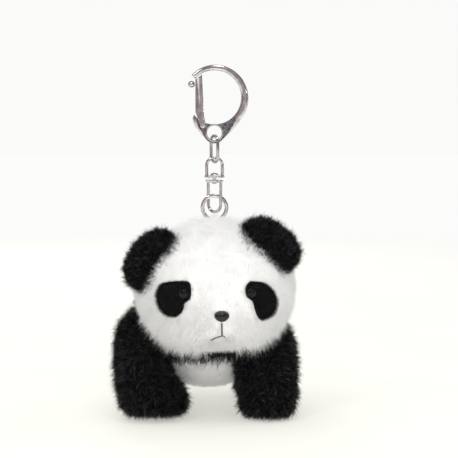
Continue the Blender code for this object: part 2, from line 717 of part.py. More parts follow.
def eyes_and_nose():
    on_patch = GAP + PATCH_THICKNESS + GAP
    for side in EYES:
        bead(f"eye_{side}", BEAD_RADIUS, BEAD_HEIGHT, on_patch, 1.0, "black_gloss")
    bead("nose", NOSE_HALF_HEIGHT, NOSE_HEIGHT, GAP, NOSE_WIDENING, "nose_gloss")


def lock_washers():
    """The ring that holds each bead's shank inside the head."""
    for name, (point, normal, radius) in fixings().items():
        ring = [circle((0, 0), WASHER_RADIUS, 16), circle((0, 0), radius + FINE_GAP, 12)]
        mesh = plate(f"{name}_washer", ring, WASHER_THICKNESS)
        mesh.transform(Matrix.Rotation(radians(-90), 4, "X"))
        depth = PILE + WASHER_SETBACK + WASHER_THICKNESS / 2
        mesh.transform(facing(point - normal * depth, normal))
        sub_part(f"{name}_washer", mesh, "washer_plastic", origin=point)


def mouth_thread():
    """Embroidered mouth: one upright stitch and two short branches."""
    lift = GAP + THREAD_RADIUS
    fork = (NOSE[0], MOUTH_FORK_Z)
    levels = (MOUTH_TOP_Z, (MOUTH_TOP_Z + MOUTH_FORK_Z) / 2, MOUTH_FORK_Z)
    upright = [on_face((NOSE[0], level), lift)[0] for level in levels]
    thread = sub_part("mouth_thread", tube("mouth_thread", upright, THREAD_RADIUS), "brown_thread")
    for number, corner in enumerate(MOUTH_CORNERS):
        start = (fork[0], fork[1] + BRANCH_RISE)
        middle = ((fork[0] + corner[0]) / 2, (fork[1] + corner[1]) / 2 + BRANCH_RISE)
        branch = [on_face(spot, lift)[0] for spot in (start, middle, corner)]
        mesh = tube(f"branch_{number}", branch, THREAD_RADIUS)
        combine(thread, "UNION", helper(f"branch_{number}", mesh))


def shoulder_cover(cutters):
    """Black band round the chest and shoulders, open to the neck and to the torso behind it."""
    skin = soft_form("shoulder_cover", YOKE_CENTRE, YOKE_RADII)
    skin = opened(skin, YOKE_CENTRE, BACKWARD, YOKE_REAR_HALF_ANGLE)
    band = sub_part("shoulder_cover", skin, "black_pile")
    give_wall(band)
    combine(band, "DIFFERENCE", cutters["head"], cutters["torso_core"])


def torso_cover(cutters):
    """White belly and back, open at the front where the shoulder band joins it."""
    skin = soft_form("torso_cover", TORSO_CENTRE, TORSO_RADII)
    skin = opened(skin, TORSO_CENTRE, -BACKWARD, TORSO_MOUTH_HALF_ANGLE)
    torso = sub_part("torso_cover", skin, "white_pile")
    give_wall(torso)
    combine(torso, "DIFFERENCE", cutters["yoke"], cutters["head"])


def body_stuffing(cutters):
    rear = soft_form("body_stuffing", TORSO_CENTRE, TORSO_RADII, 2.0, -STUFFING_INSET, 16, 10)
    front_mesh = soft_form("front", YOKE_CENTRE, YOKE_RADII, 2.0, -STUFFING_INSET, 16, 10)
    front = helper("front_stuffing", front_mesh)
    body = sub_part("body_stuffing", rear, "fibre_fill")
    combine(body, "UNION", front)
    combine(body, "DIFFERENCE", cutters["head"])


def legs(cutters):
    """Each leg is a cover that opens into the body and the stuffing inside it."""
    pairs = {"front_leg": FRONT_LEGS, "hind_leg": HIND_LEGS}
    for kind, limbs in pairs.items():
        for side, limb in limbs.items():
            name = f"{kind}_{side}"
            cover = sub_part(f"{name}_cover", limb_form(name, limb), "black_pile")
            hollow = helper(f"{name}_hollow", limb_form(f"{name}_hollow", limb, PILE))
            combine(cover, "DIFFERENCE", cutters["torso"], cutters["yoke"], cutters["head"], hollow)
            fill_mesh = limb_form(f"{name}_fill", limb, PILE + GAP, 12)
            fill = sub_part(f"{name}_stuffing", fill_mesh, "fibre_fill")
            combine(fill, "DIFFERENCE", cutters["head"], cutters["yoke"], cutters["torso"])


def tail(cutters):
    shape = soft_form("tail", TAIL_CENTRE, TAIL_RADII, 2.0, 0.0, 16, 10)
    combine(sub_part("tail", shape, "white_pile"), "DIFFERENCE", cutters["torso"])


def build():
    clear_scene()
    clasp_body()
    clasp_gate()
    thumb_ball()
    gate_pin()
    gate_spring()
    chain_link()
    swivel_upper_bow()
    swivel_lower_bow()
    swivel_rivet()
    split_ring()
    cutters = plush_cutters()
    shank_holes = shank_cutters()
    hanger_ribbon(cutters)
    head_cover(shank_holes)
    head_stuffing()
    ears(cutters)
    eye_patches(cutters, shank_holes)
    eyes_and_nose()
    lock_washers()
    mouth_thread()
    shoulder_cover(cutters)
    torso_cover(cutters)
    body_stuffing(cutters)
    legs(cutters)
    tail(cutters)


build()
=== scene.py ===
"""Looks of the plush panda keychain: nickel hardware, sewn pile, felt patches and glossy beads.

Metres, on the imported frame. The origin is the point inside the top of the hook. The panda faces -Y.
"""

import json
from math import cos, pi, radians, sin

import bmesh
import bpy
import numpy as np
from mathutils import Matrix, Vector
from mathutils.kdtree import KDTree

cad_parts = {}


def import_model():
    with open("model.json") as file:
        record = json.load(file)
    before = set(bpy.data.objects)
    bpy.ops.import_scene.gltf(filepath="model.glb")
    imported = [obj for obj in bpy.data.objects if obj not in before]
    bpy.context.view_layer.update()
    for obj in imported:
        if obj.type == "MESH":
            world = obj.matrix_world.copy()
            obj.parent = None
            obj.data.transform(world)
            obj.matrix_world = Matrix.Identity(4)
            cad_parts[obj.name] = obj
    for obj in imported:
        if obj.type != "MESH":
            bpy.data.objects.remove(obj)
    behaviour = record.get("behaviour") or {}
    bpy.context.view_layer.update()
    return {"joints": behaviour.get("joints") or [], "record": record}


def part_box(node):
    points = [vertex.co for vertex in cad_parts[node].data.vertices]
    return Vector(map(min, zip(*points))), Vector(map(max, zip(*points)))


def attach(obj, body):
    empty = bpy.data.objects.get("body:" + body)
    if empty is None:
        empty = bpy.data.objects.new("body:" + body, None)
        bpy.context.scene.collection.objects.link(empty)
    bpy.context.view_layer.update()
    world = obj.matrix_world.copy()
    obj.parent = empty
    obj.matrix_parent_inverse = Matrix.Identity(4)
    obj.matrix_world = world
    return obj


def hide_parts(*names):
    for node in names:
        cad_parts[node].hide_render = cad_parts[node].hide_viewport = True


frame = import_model()

MM = 0.001
WELD = 0.002 * MM

# Snap hook
EYE_RADIUS = 11.85 * MM
EYE_CENTRE = (0.0, -EYE_RADIUS)
HOOK_THICKNESS = 3.0 * MM
HOOK_BEVEL = 0.95 * MM
WIDTH_AT_NOSE = 2.2 * MM
WIDTH_AT_SIDE = 3.3 * MM
NOSE_ANGLE = radians(136)
TAPER_END_ANGLE = radians(-24)
TAIL_ANGLE = radians(-140)
WEB_THICKNESS = 1.8 * MM
WEB_SLOPE = 0.28 * MM
BOSS_RADIUS = 4.7 * MM
HOLE_RADIUS = 3.3 * MM
HOLE_CENTRE = Vector((0.0, 0.0, -27.5 * MM))
RIM_STEPS = 72

# Gate and its thumb ball
GATE_OUTER_X = -8.4 * MM
GATE_WEB = 0.5 * MM
GATE_FOOT_Z = -18.4 * MM
GATE_EYE_RADIUS = 1.25 * MM
GATE_GAP = 0.30 * MM
SPRING_SLOT = 0.85 * MM
PIN_RADIUS = 0.45 * MM
PIN_LENGTH = 3.5 * MM
PIN_PLAY = 0.1 * MM
SPRING_WIRE = 0.14 * MM
SPRING_COIL = 0.8 * MM
SPRING_TURNS = 1.25
BALL_RADIUS = 1.55 * MM
STEM_RADIUS = 0.6 * MM
STEM_FOOT = (0.9 * MM, 0.4 * MM)

# Link, swivel, split ring
LINK_WIRE = 0.70 * MM
LINK_BEND = 2.55 * MM
LINK_YAW = radians(35)
BOW_WIRE = 0.68 * MM
BOW_LEG = 3.45 * MM
BASE_SIZE = (8.8 * MM, 3.4 * MM, 1.1 * MM)
LOWER_BOW_YAW = radians(-37)
RIVET_RADIUS = 0.8 * MM
RING_RADIUS = 6.15 * MM
RING_WIRE = (1.6 * MM, 0.8 * MM)
RING_PITCH = 0.92 * MM
RING_TURNS = 1.88
RING_CROSSOVER = 0.10
RING_START = radians(25)
RING_SQUARENESS = 0.5

# Ribbon
RIBBON_WIDTH = 3.4 * MM
RIBBON_THICKNESS = 0.55 * MM
RIBBON_INNER = 1.6 * MM
RIBBON_SUNK = 1.5 * MM

# Plush
HEAD_POWER = 2.2
LIMB_SQUARENESS = 0.9
SKIN_DEPTH = 2.6 * MM
EAR_SKIN_DEPTH = 1.9 * MM
TAIL_SKIN_DEPTH = 2.0 * MM
ROOT_DEPTH = 0.3 * MM
STRAND_RADIUS = 0.11 * MM
FINE_STRAND = 0.085 * MM
STRAND_UV = "strand"
GUARD_STRETCH = 1.55
GUARD_PULL = 0.3
SOFTNESS = 0.62
FELT_THICKNESS = 0.9 * MM
FELT_SUNK = -0.9 * MM
FUZZ_COUNT = 2600
FUZZ_RADIUS = 0.055 * MM
BEAD_RADIUS = 2.25 * MM
BEAD_HEIGHT = 1.35 * MM
NOSE_SIZE = (3.15 * MM, 2.25 * MM, 2.1 * MM)
NOSE_TAPER = 0.17
THREAD_RADIUS = 0.2 * MM
SOLE_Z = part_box("front_leg_left_cover")[0].z

# The floor that the toy stands on, and the camera, which looks a little down on its face
CAMERA_DISTANCE = 0.6
CAMERA_ELEVATION = radians(5)
CAMERA_LENS = 105.7
CAMERA_TARGET = Vector((0.0, 0.0, -0.078))
AIM_OFFSET = (6.47 * MM, 7.76 * MM)
FLOOR_RADIUS = 6.0
# The floor's painted glow near the toy, which lifts the shadows there
FLOOR_GLOW = 0.48
FLOOR_FADE = (0.3, 1.1)
WORLD_LIGHT = 0.96
REFLECTED_LIGHT = 0.36
CARD_DISTANCE = 0.9
LIGHT_AIM = Vector((0.0, 0.0, -0.09))


# ---------------------------------------------------------------- frame


def joint_at(name):
    found = next(joint for joint in frame["joints"] if joint["name"] == name)
    return Vector(found["pos_m"])


def body_of(node_name):
    bodies = frame["record"]["behaviour"]["bodies"]
    return next(body for body, nodes in bodies.items() if node_name in nodes)


def middle_of(node_name):
    low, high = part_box(node_name)
    return (Vector(low) + Vector(high)) / 2


def off_middle(node_name, *offset):
    """A point at an offset in millimetres from the middle of a CAD node's box."""
    return middle_of(node_name) + Vector(offset) * MM


def carried(made, body):
    """The piece moves with the body."""
    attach(made, body)
    return made


def stand_for(made, slot, node_name, *others):
    """The piece takes the place of a CAD node, on the same body. The slot is not used."""
    carried(made, body_of(node_name))
    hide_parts(node_name, *others)
    return made


# ---------------------------------------------------------------- materials


def node(tree, kind, inputs=None, **settings):
    """A shader node with its settings; an input is a value or the socket that feeds it."""
    made = tree.nodes.new(kind)
    for key, value in settings.items():
        setattr(made, key, value)
    for key, value in (inputs or {}).items():
        if isinstance(value, bpy.types.NodeSocket):
            tree.links.new(value, made.inputs[key])
        else:
            made.inputs[key].default_value = value
    return made


def new_material(name, **sockets):
    made = bpy.data.materials.new(name)
    made.use_nodes = True
    shader = made.node_tree.nodes["Principled BSDF"]
    for key, value in sockets.items():
        shader.inputs[key.replace("_", " ")].default_value = value
    return made, made.node_tree, shader


def object_place(tree):
    return node(tree, "ShaderNodeTexCoord").outputs["Object"]


def noise(tree, scale, detail=3.0, roughness=0.55, draw_out=1.0):
    """Noise in the object's own space, drawn out along Z where draw_out is under 1."""
    place = object_place(tree)
    if draw_out != 1.0:
        inputs = {"Vector": place, "Scale": (1.0, 1.0, draw_out)}
        place = node(tree, "ShaderNodeMapping", inputs).outputs["Vector"]
    inputs = {"Vector": place, "Scale": scale, "Detail": detail, "Roughness": roughness}
    return node(tree, "ShaderNodeTexNoise", inputs).outputs[0]


def ramp(tree, fed_by, stops):
    made = node(tree, "ShaderNodeValToRGB", {"Fac": fed_by})
    elements = made.color_ramp.elements
    while len(elements) < len(stops):
        elements.new(0.5)
    for element, (spot, colour) in zip(elements, stops):
        element.position = spot
        element.color = (*colour, 1.0)
    return made.outputs["Color"]


def spread(tree, fed_by, low, high, first=0.3, last=0.7):
    inputs = {"Value": fed_by, "From Min": first, "From Max": last, "To Min": low, "To Max": high}
    return node(tree, "ShaderNodeMapRange", inputs).outputs["Result"]


def mix(tree, share, first, second, blend="MIX"):
    inputs = {"Factor": share, 6: first, 7: second}
    return node(tree, "ShaderNodeMix", inputs, data_type="RGBA", blend_type=blend).outputs[2]


def bump(tree, shader, height, strength, distance):
    inputs = {"Height": height, "Strength": strength, "Distance": distance}
    tree.links.new(node(tree, "ShaderNodeBump", inputs).outputs["Normal"], shader.inputs["Normal"])


def mottled(name, stops, clouds, polish=None, relief=None, **sockets):
    """A surface of clouded tones, which may be unevenly polished and have a relief.

    clouds is the settings of a noise; polish and relief are each a noise's settings and two
    numbers: the least and greatest roughness, or the strength and depth of the bump.
    """
    made, tree, shader = new_material(name, **sockets)
    tree.links.new(ramp(tree, noise(tree, *clouds), stops), shader.inputs["Base Color"])
    if polish:
        pattern, low, high = polish
        roughness = spread(tree, noise(tree, *pattern), low, high)
        tree.links.new(roughness, shader.inputs["Roughness"])
    if relief:
        pattern, strength, depth = relief
        bump(tree, shader, noise(tree, *pattern), strength, depth)
    return made


def nickel(name, dark, light, roughness, cloud_scale=300.0):
    """Polished plating with cloudy tarnish, fine rubbing marks and a slightly uneven polish."""
    marks = ((5200.0, 2.0, 0.55, 0.12), 0.10, 0.00004)
    polish = ((2600.0,), *roughness)
    stops = [(0.35, dark), (0.62, light)]
    return mottled(name, stops, (cloud_scale, 4.0), polish, marks, Metallic=1.0)


def gloss(name, shine, dark, light, roughness, grain, depth):
    """Moulded glossy plastic with a faint grain."""
    polish, relief = ((grain,), *roughness), ((grain,), 0.15, depth)
    stops = [(0.35, dark), (0.65, light)]
    return mottled(name, stops, (500.0,), polish, relief, Specular_IOR_Level=shine)


def pile(name, root, body, tip, odd, share, **sockets):
    """Strands: darker at the root, which is painted shade deep in the pile, paler at the tip, a few
    odd ones, and soft clouds over all.
    """
    made, tree, shader = new_material(name, **sockets)
    spot = node(tree, "ShaderNodeUVMap", uv_map=STRAND_UV).outputs["UV"]
    parts = node(tree, "ShaderNodeSeparateXYZ", {"Vector": spot})
    # Painted shade: the ramp darkens each strand towards its root, where shade falls deep in the
    # pile.
    along = ramp(tree, parts.outputs["Y"], [(0.0, root), (0.45, body), (1.0, tip)])
    few = [(1 - share, (0, 0, 0)), (1 - share / 2, (1, 1, 1))]
    coloured = mix(tree, ramp(tree, parts.outputs["X"], few), along, (*odd, 1.0))
    tones = [(0.3, (0.92, 0.92, 0.925)), (0.6, (1.0, 1.0, 1.0))]
    shade = ramp(tree, noise(tree, 160.0), tones)
    tree.links.new(mix(tree, 1.0, coloured, shade, "MULTIPLY"), shader.inputs["Base Color"])
    return made


def backing(name, dark, light):
    """The knitted cloth under a pile: loops in rows, mottled."""
    made, tree, shader = new_material(name, Roughness=0.95)
    colour = ramp(tree, noise(tree, 420.0, 4.0), [(0.3, dark), (0.65, light)])
    tree.links.new(colour, shader.inputs["Base Color"])
    inputs = {"Vector": object_place(tree), "Scale": 420.0, "Distortion": 3.0}
    bump(tree, shader, node(tree, "ShaderNodeTexWave", inputs).outputs["Fac"], 0.5, 0.0002)
    return made


def woven(name):
    """White tape: warp and weft ribs crossed, darker in the hollows of the weave, as painted shade.
    """
    made, tree, shader = new_material(name, Roughness=0.8)
    inputs = {"Vector": object_place(tree), "Scale": 900.0}
    warp, weft = (
        node(tree, "ShaderNodeTexWave", inputs, bands_direction=along).outputs["Fac"]
        for along in ("X", "Z")
    )
    ribs = node(tree, "ShaderNodeMath", {0: warp, 1: weft}, operation="MULTIPLY").outputs[0]
    # Painted shade: the colour darkens where the weave's bump is lowest.
    colour = ramp(tree, ribs, [(0.0, (0.70, 0.69, 0.67)), (0.6, (0.88, 0.87, 0.85))])
    tree.links.new(colour, shader.inputs["Base Color"])
    bump(tree, shader, ribs, 0.6, 0.0002)
    return made


PLATED = nickel("nickel_polished", (0.50, 0.465, 0.465), (0.80, 0.76, 0.76), (0.05, 0.13))
CAST = nickel("nickel_cast", (0.12, 0.105, 0.125), (0.34, 0.31, 0.35), (0.24, 0.42), 900.0)
SPRING_STEEL = nickel("steel_wire", (0.34, 0.33, 0.32), (0.50, 0.49, 0.47), (0.22, 0.34))
PILES = {
    "white": pile(
        "pile_white", (0.955, 0.95, 0.935), (0.972, 0.968, 0.958), (0.985, 0.984, 0.976),
        (0.93, 0.915, 0.885), 0.04, Roughness=0.8, Specular_IOR_Level=0.2,
    ),
    # The black pile's paler odd strands are partly grey fibres and partly painted sheen.
    "black": pile(
        "pile_black", (0.0012, 0.0012, 0.0012), (0.0030, 0.0027, 0.0030), (0.0085, 0.0075, 0.0095),
        (0.080, 0.073, 0.086), 0.15, Roughness=0.45, Specular_IOR_Level=0.2,
    ),
}  # fmt: skip
BACKINGS = {
    "white": backing("backing_white", (0.88, 0.875, 0.86), (0.95, 0.945, 0.935)),
    "black": backing("backing_black", (0.0015, 0.0015, 0.0015), (0.005, 0.0045, 0.005)),
}


# ---------------------------------------------------------------- meshes


def piece(name, mesh, *materials):
    made = bpy.data.objects.new(name, mesh)
    bpy.context.scene.collection.objects.link(made)
    for material in materials:
        mesh.materials.append(material)
    return made


def mesh_from(bm, name):
    bmesh.ops.recalc_face_normals(bm, faces=bm.faces)
    mesh = bpy.data.meshes.new(name)
    bm.to_mesh(mesh)
    bm.free()
    return mesh


def smooth(mesh, angle=35):
    mesh.shade_smooth()
    mesh.set_sharp_from_angle(angle=radians(angle))
    return mesh


def fit(name, mesh, material, slot, *nodes, angle=35):
    """A piece of one smooth mesh that takes the place of its CAD nodes."""
    return stand_for(piece(name, smooth(mesh, angle), material), slot, *nodes)


def turns(count):
    return [2 * pi * step / count for step in range(count)]


def squared(turn, power):
    """A point of the unit circle, pushed out towards a square where the power is under 1."""
    return [np.sign(part) * abs(part) ** power for part in (cos(turn), sin(turn))]


def evaluated_mesh(holder):
    bpy.context.view_layer.update()
    graph = bpy.context.evaluated_depsgraph_get()
    return bpy.data.meshes.new_from_object(holder.evaluated_get(graph))


def mesh_of_curve(data, name):
    holder = piece(name, data)
    rough = evaluated_mesh(holder)
    bpy.data.objects.remove(holder)
    bm = bmesh.new()
    bm.from_mesh(rough)
    bpy.data.meshes.remove(rough)
    bmesh.ops.remove_doubles(bm, verts=bm.verts, dist=WELD)
    return mesh_from(bm, name)


def add_spline(data, points, closed):
    spline = data.splines.new("POLY")
    spline.points.add(len(points) - 1)
    for corner, point in zip(spline.points, points):
        corner.co = (*point, 1.0)
    spline.use_cyclic_u = closed


def plate(name, outlines, thickness, bevel=0.0, steps=3):
    """A plate centred on y = 0 from outlines in (x, z); each outline after the first is a hole."""
    data = bpy.data.curves.new(name, "CURVE")
    data.dimensions = "2D"
    data.fill_mode = "BOTH"
    data.extrude = thickness / 2 - bevel
    data.bevel_depth = bevel
    data.bevel_resolution = steps
    data.offset = -bevel
    for outline in outlines:
        add_spline(data, [(across, up, 0.0) for across, up in outline], closed=True)
    mesh = mesh_of_curve(data, name)
    mesh.transform(Matrix.Rotation(radians(90), 4, "X"))
    return mesh


def tube(name, points, radius, closed=False, roundness=5):
    data = bpy.data.curves.new(name, "CURVE")
    data.dimensions = "3D"
    data.bevel_depth = radius
    data.bevel_resolution = roundness
    data.use_fill_caps = True
    add_spline(data, points, closed)
    return mesh_of_curve(data, name)


def arc(centre, radius, start, end, steps):
    first, last = radius if isinstance(radius, tuple) else (radius, radius)
    points = []
    for step in range(steps + 1):
        share = step / steps
        angle = start + (end - start) * share
        reach = first + (last - first) * share
        points.append((centre[0] + reach * cos(angle), centre[1] + reach * sin(angle)))
    return points


def in_mm(*corners):
    return [(across * MM, up * MM) for across, up in corners]


def rounded(corners, cut_back, steps=4):
    """A polygon whose corners are replaced by short curves."""
    made = []
    count = len(corners)
    for number in range(count):
        before, at, after = (Vector(corners[(number + shift) % count]) for shift in (-1, 0, 1))
        start = at.lerp(before, min(cut_back / (before - at).length, 0.45))
        end = at.lerp(after, min(cut_back / (after - at).length, 0.45))
        for step in range(steps + 1):
            share = step / steps
            made.append(tuple(start.lerp(at, share).lerp(at.lerp(end, share), share)))
    return made


def bore(centre, radius, segments=32):
    """A cutter for a round hole along Y."""
    depth = 8 * MM
    bm = bmesh.new()
    bmesh.ops.create_cone(
        bm, cap_ends=True, segments=segments, radius1=radius, radius2=radius, depth=depth
    )
    turn = Vector((0.0, 1.0, 0.0)).to_track_quat("Z", "Y").to_matrix().to_4x4()
    bmesh.ops.transform(bm, matrix=Matrix.Translation(centre) @ turn, verts=bm.verts)
    return mesh_from(bm, "bore")


def on_both_sides(outline, thickness, bevel, steps):
    """The same plate centred on each face of the hook, as a pair of cutters."""
    pair = []
    for side in (-1, 1):
        cutter = plate("cutter", [outline], thickness, bevel, steps)
        cutter.transform(Matrix.Translation((0, side * HOOK_THICKNESS / 2, 0)))
        pair.append(cutter)
    return pair


def turned(name, profile, segments=48):
    """A solid of revolution about Z from (radius, z) points that start and end on the axis."""
    bm = bmesh.new()
    corners = [bm.verts.new((reach, 0.0, height)) for reach, height in profile]
    edges = [bm.edges.new(pair) for pair in zip(corners, corners[1:])]
    axis = {"cent": (0, 0, 0), "axis": (0, 0, 1), "angle": 2 * pi}
    bmesh.ops.spin(bm, geom=corners + edges, steps=segments, use_merge=True, **axis)
    bmesh.ops.remove_doubles(bm, verts=bm.verts, dist=WELD)
    return mesh_from(bm, name)


def lofted(bm, loops, start=None, end=None):
    """Faces from loop to loop of points. An end is closed by a face ("flat") or by a point.

    Without ends the last loop joins the first.
    """
    rows = [[bm.verts.new(spot) for spot in loop] for loop in loops]
    following = rows[1:] if start else rows[1:] + rows[:1]
    around = len(rows[0])
    for first, second in zip(rows, following):
        for step in range(around):
            after = (step + 1) % around
            bm.faces.new((first[step], first[after], second[after], second[step]))
    for cap, row in ((start, rows[0]), (end, rows[-1])):
        if cap == "flat":
            bm.faces.new(row)
        elif cap:
            tip = bm.verts.new(cap)
            for step in range(around):
                bm.faces.new((tip, row[step], row[(step + 1) % around]))


def cut(mesh, operation, *others):
    """The mesh after a Boolean with each of the others, which are used up."""
    target = piece("boolean_target", mesh)
    tools = [target]
    for other in others:
        tools.append(piece("boolean_tool", other))
        step = target.modifiers.new("boolean", "BOOLEAN")
        step.object = tools[-1]
        step.operation = operation
        step.solver = "EXACT"
    made = evaluated_mesh(target)
    for tool in tools:
        bpy.data.objects.remove(tool)
    return made


# ---------------------------------------------------------------- snap hook


def hook_outline():
    outer = (EYE_RADIUS + WIDTH_AT_NOSE, EYE_RADIUS + WIDTH_AT_SIDE)
    points = arc(EYE_CENTRE, outer, NOSE_ANGLE, TAPER_END_ANGLE, 80)
    points += in_mm((12.6, -20.4), (10.9, -22.7), (9.2, -24.9), (7.0, -27.3))
    points += arc((0.0, HOLE_CENTRE.z), BOSS_RADIUS, radians(-36), radians(-144), 28)
    points += in_mm((-5.6, -28.3), (-7.2, -26.5), (-8.4, -24.9), (-9.2, -23.2), (-9.6, -21.0))
    points += arc(EYE_CENTRE, EYE_RADIUS, TAIL_ANGLE, NOSE_ANGLE, 110)
    return points


def web_outline():
    corners = in_mm(
        (-7.9, -13.0), (-7.9, -21.8), (-6.9, -25.6), (-5.6, -26.8), (-4.4, -29.6), (-3.0, -34.0),
        (3.0, -34.0), (4.4, -29.8), (8.2, -24.6), (10.2, -19.6), (9.6, -13.0),
    )  # fmt: skip
    return rounded(corners, 0.8 * MM)


def spring_slot():
    corners = in_mm(
        (-7.7, -14.0), (-7.7, -21.9), (-6.7, -25.4), (-3.9, -25.4), (-3.4, -23.0), (-3.4, -14.0)
    )
    return plate("slot", [corners], SPRING_SLOT)


def clasp_body():
    mesh = plate("clasp", [hook_outline()], HOOK_THICKNESS, HOOK_BEVEL, 5)
    webs = on_both_sides(web_outline(), HOOK_THICKNESS - WEB_THICKNESS, WEB_SLOPE, 2)
    pin_hole = bore(joint_at("gate_hinge"), PIN_RADIUS + PIN_PLAY)
    link_hole = bore(HOLE_CENTRE, HOLE_RADIUS, RIM_STEPS)
    mesh = cut(mesh, "DIFFERENCE", *webs, spring_slot(), pin_hole, link_hole)
    made = piece("clasp_casting", smooth(mesh, 30), PLATED, CAST)
    for face in mesh.polygons:
        off_web = abs(abs(face.center.y) - WEB_THICKNESS / 2)
        face.material_index = int(abs(face.normal.y) > 0.9 and off_web < 0.05 * MM)
    soften = made.modifiers.new("edges", "BEVEL")
    soften.width = 0.09 * MM
    soften.segments = 2
    soften.limit_method = "ANGLE"
    soften.angle_limit = radians(40)
    soften.material = 0
    stand_for(made, "nickel", "clasp_body")
    carried(piece("clasp_hole_rim", smooth(hole_rim()), PLATED), "clasp")


def hole_rim():
    """The thin raised lip round the link's hole on both faces of the web."""
    # The section, in millimetres out from the hole and proud of the web
    profile = [(0.15, 0.0), (0.65, 0.0), (0.6, 0.06), (0.4, 0.1), (0.2, 0.07)]
    half = WEB_THICKNESS / 2 - 0.05 * MM
    bm = bmesh.new()
    for side in (-1, 1):
        loops = []
        for turn in turns(RIM_STEPS):
            loop = []
            for out, proud in profile:
                reach = HOLE_RADIUS + out * MM
                height = HOLE_CENTRE.z + reach * sin(turn)
                loop.append((reach * cos(turn), side * (half + proud * MM), height))
            loops.append(loop)
        lofted(bm, loops)
    return mesh_from(bm, "rim")


def gate_outline(pivot):
    top = arc(EYE_CENTRE, EYE_RADIUS - GATE_GAP, radians(118.4), radians(136.6), 10)
    foot = arc((pivot.x, pivot.z), GATE_EYE_RADIUS, radians(-190), radians(18), 28)
    return top + [(GATE_OUTER_X, GATE_FOOT_Z)] + foot + in_mm((-4.6, -20.0))


def gate_groove():
    """The hollow pressed into each cheek of the gate, which leaves a bright rim."""
    corners = in_mm((-7.75, -3.9), (-6.55, -3.1), (-6.0, -19.6), (-6.3, -20.8), (-7.5, -18.4))
    return rounded(corners, 0.6 * MM)


def clasp_gate():
    pivot = joint_at("gate_hinge")
    mesh = plate("gate", [gate_outline(pivot)], HOOK_THICKNESS, 0.22 * MM, 3)
    inner_x = GATE_OUTER_X + GATE_WEB
    beyond = -30 * MM
    inside = [(inner_x, 0.0), (0.0, 0.0), (0.0, beyond), (beyond, beyond)]
    inside += [(beyond, GATE_FOOT_Z), (inner_x, GATE_FOOT_Z)]
    hollow = plate("gate_hollow", [inside], WEB_THICKNESS + 0.3 * MM)
    grooves = on_both_sides(gate_groove(), 0.7 * MM, 0.12 * MM, 1)
    mesh = cut(mesh, "DIFFERENCE", hollow, bore(pivot, PIN_RADIUS + PIN_PLAY), *grooves)
    fit("gate_channel", mesh, PLATED, "nickel", "clasp_gate", angle=30)


def thumb_ball():
    box_low, box_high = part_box("thumb_ball")
    centre = Vector((box_low.x + BALL_RADIUS, 0.0, middle_of("thumb_ball").z))
    length = box_high.x - centre.x
    ball = arc((0.0, 0.0), BALL_RADIUS, radians(90), radians(-66), 24)
    foot, foot_height = STEM_FOOT
    profile = [(0.0, BALL_RADIUS), *ball[1:], (STEM_RADIUS, -length + foot_height)]
    profile += [(foot, -length + foot_height), (foot, -length), (0.0, -length)]
    mesh = turned("ball", profile)
    mesh.transform(Matrix.Translation(centre) @ Matrix.Rotation(radians(-90), 4, "Y"))
    fit("thumb_button", mesh, PLATED, "nickel", "thumb_ball")


def gate_pin():
    """Pin with domed, peened ends that stand a little proud of the gate's cheeks."""
    half = PIN_LENGTH / 2
    width, height = PIN_RADIUS * 1.25, PIN_RADIUS * 0.5
    dome = [(width * cos(turn), half + height * sin(turn)) for turn in (1.0, 0.5, 0.0)]
    profile = [(0.0, half + height), *dome, (PIN_RADIUS, half - 0.1 * MM)]
    profile += [(reach, -up) for reach, up in reversed(profile)]
    mesh = turned("pin", profile, 32)
    mesh.transform(Matrix.Translation(joint_at("gate_hinge")) @ Matrix.Rotation(pi / 2, 4, "X"))
    fit("gate_rivet", mesh, PLATED, "nickel", "gate_pin")


def gate_spring():
    pivot = joint_at("gate_hinge")
    steps = 60
    coil = []
    for step in range(steps + 1):
        share = step / steps
        angle = pi + 2 * pi * SPRING_TURNS * share
        sideways = 0.2 * MM * (1 - 2 * share)
        spot = Vector((SPRING_COIL * cos(angle), sideways, SPRING_COIL * sin(angle)))
        coil.append(pivot + spot)
    arm = Vector((-7.55, 0.2, -17.2)) * MM
    points = [arm, *coil, coil[-1] + Vector((0.9, 0.0, 0.0)) * MM]
    mesh = tube("spring", points, SPRING_WIRE, roundness=2)
    fit("gate_torsion_spring", mesh, SPRING_STEEL, "spring_steel", "gate_spring")


# ---------------------------------------------------------------- link, swivel and split ring


def chain_link():
    top = joint_at("link_swing").z
    bottom = joint_at("bow_swing").z + LINK_BEND
    path = arc((0.0, top), LINK_BEND, 0.0, pi, 32) + arc((0.0, bottom), LINK_BEND, pi, 2 * pi, 32)
    mesh = tube("link", [(0.0, along, up) for along, up in path], LINK_WIRE, closed=True)
    mesh.transform(Matrix.Rotation(LINK_YAW, 4, "Z"))
    fit("oval_link", mesh, PLATED, "nickel", "chain_link")


def bow(name, node_name, base_z, tip_z, yaw):
    """A wire bow on a flat base with a hole for the rivet."""
    side = 1 if tip_z > base_z else -1
    bend_z = tip_z - side * (BOW_WIRE + BOW_LEG)
    bend = arc((0.0, bend_z), BOW_LEG, 0.0, side * pi, 36)
    points = [(BOW_LEG, 0.0, base_z), *[(x, 0.0, z) for x, z in bend], (-BOW_LEG, 0.0, base_z)]
    length, width, height = BASE_SIZE
    corner = width / 2
    reach = length / 2 - corner
    ends = arc((reach, 0.0), corner, -pi / 2, pi / 2, 24)
    ends += arc((-reach, 0.0), corner, pi / 2, 3 * pi / 2, 24)
    hole = arc((0.0, 0.0), RIVET_RADIUS + PIN_PLAY, 0.0, 2 * pi, 32)[:-1]
    base = plate(name, [ends, hole], height, 0.32 * MM, 3)
    base.transform(Matrix.Translation((0, 0, base_z)) @ Matrix.Rotation(radians(90), 4, "X"))
    mesh = cut(base, "UNION", tube(name + "_wire", points, BOW_WIRE))
    mesh.transform(Matrix.Rotation(yaw, 4, "Z"))
    fit(name, mesh, PLATED, "nickel", node_name)


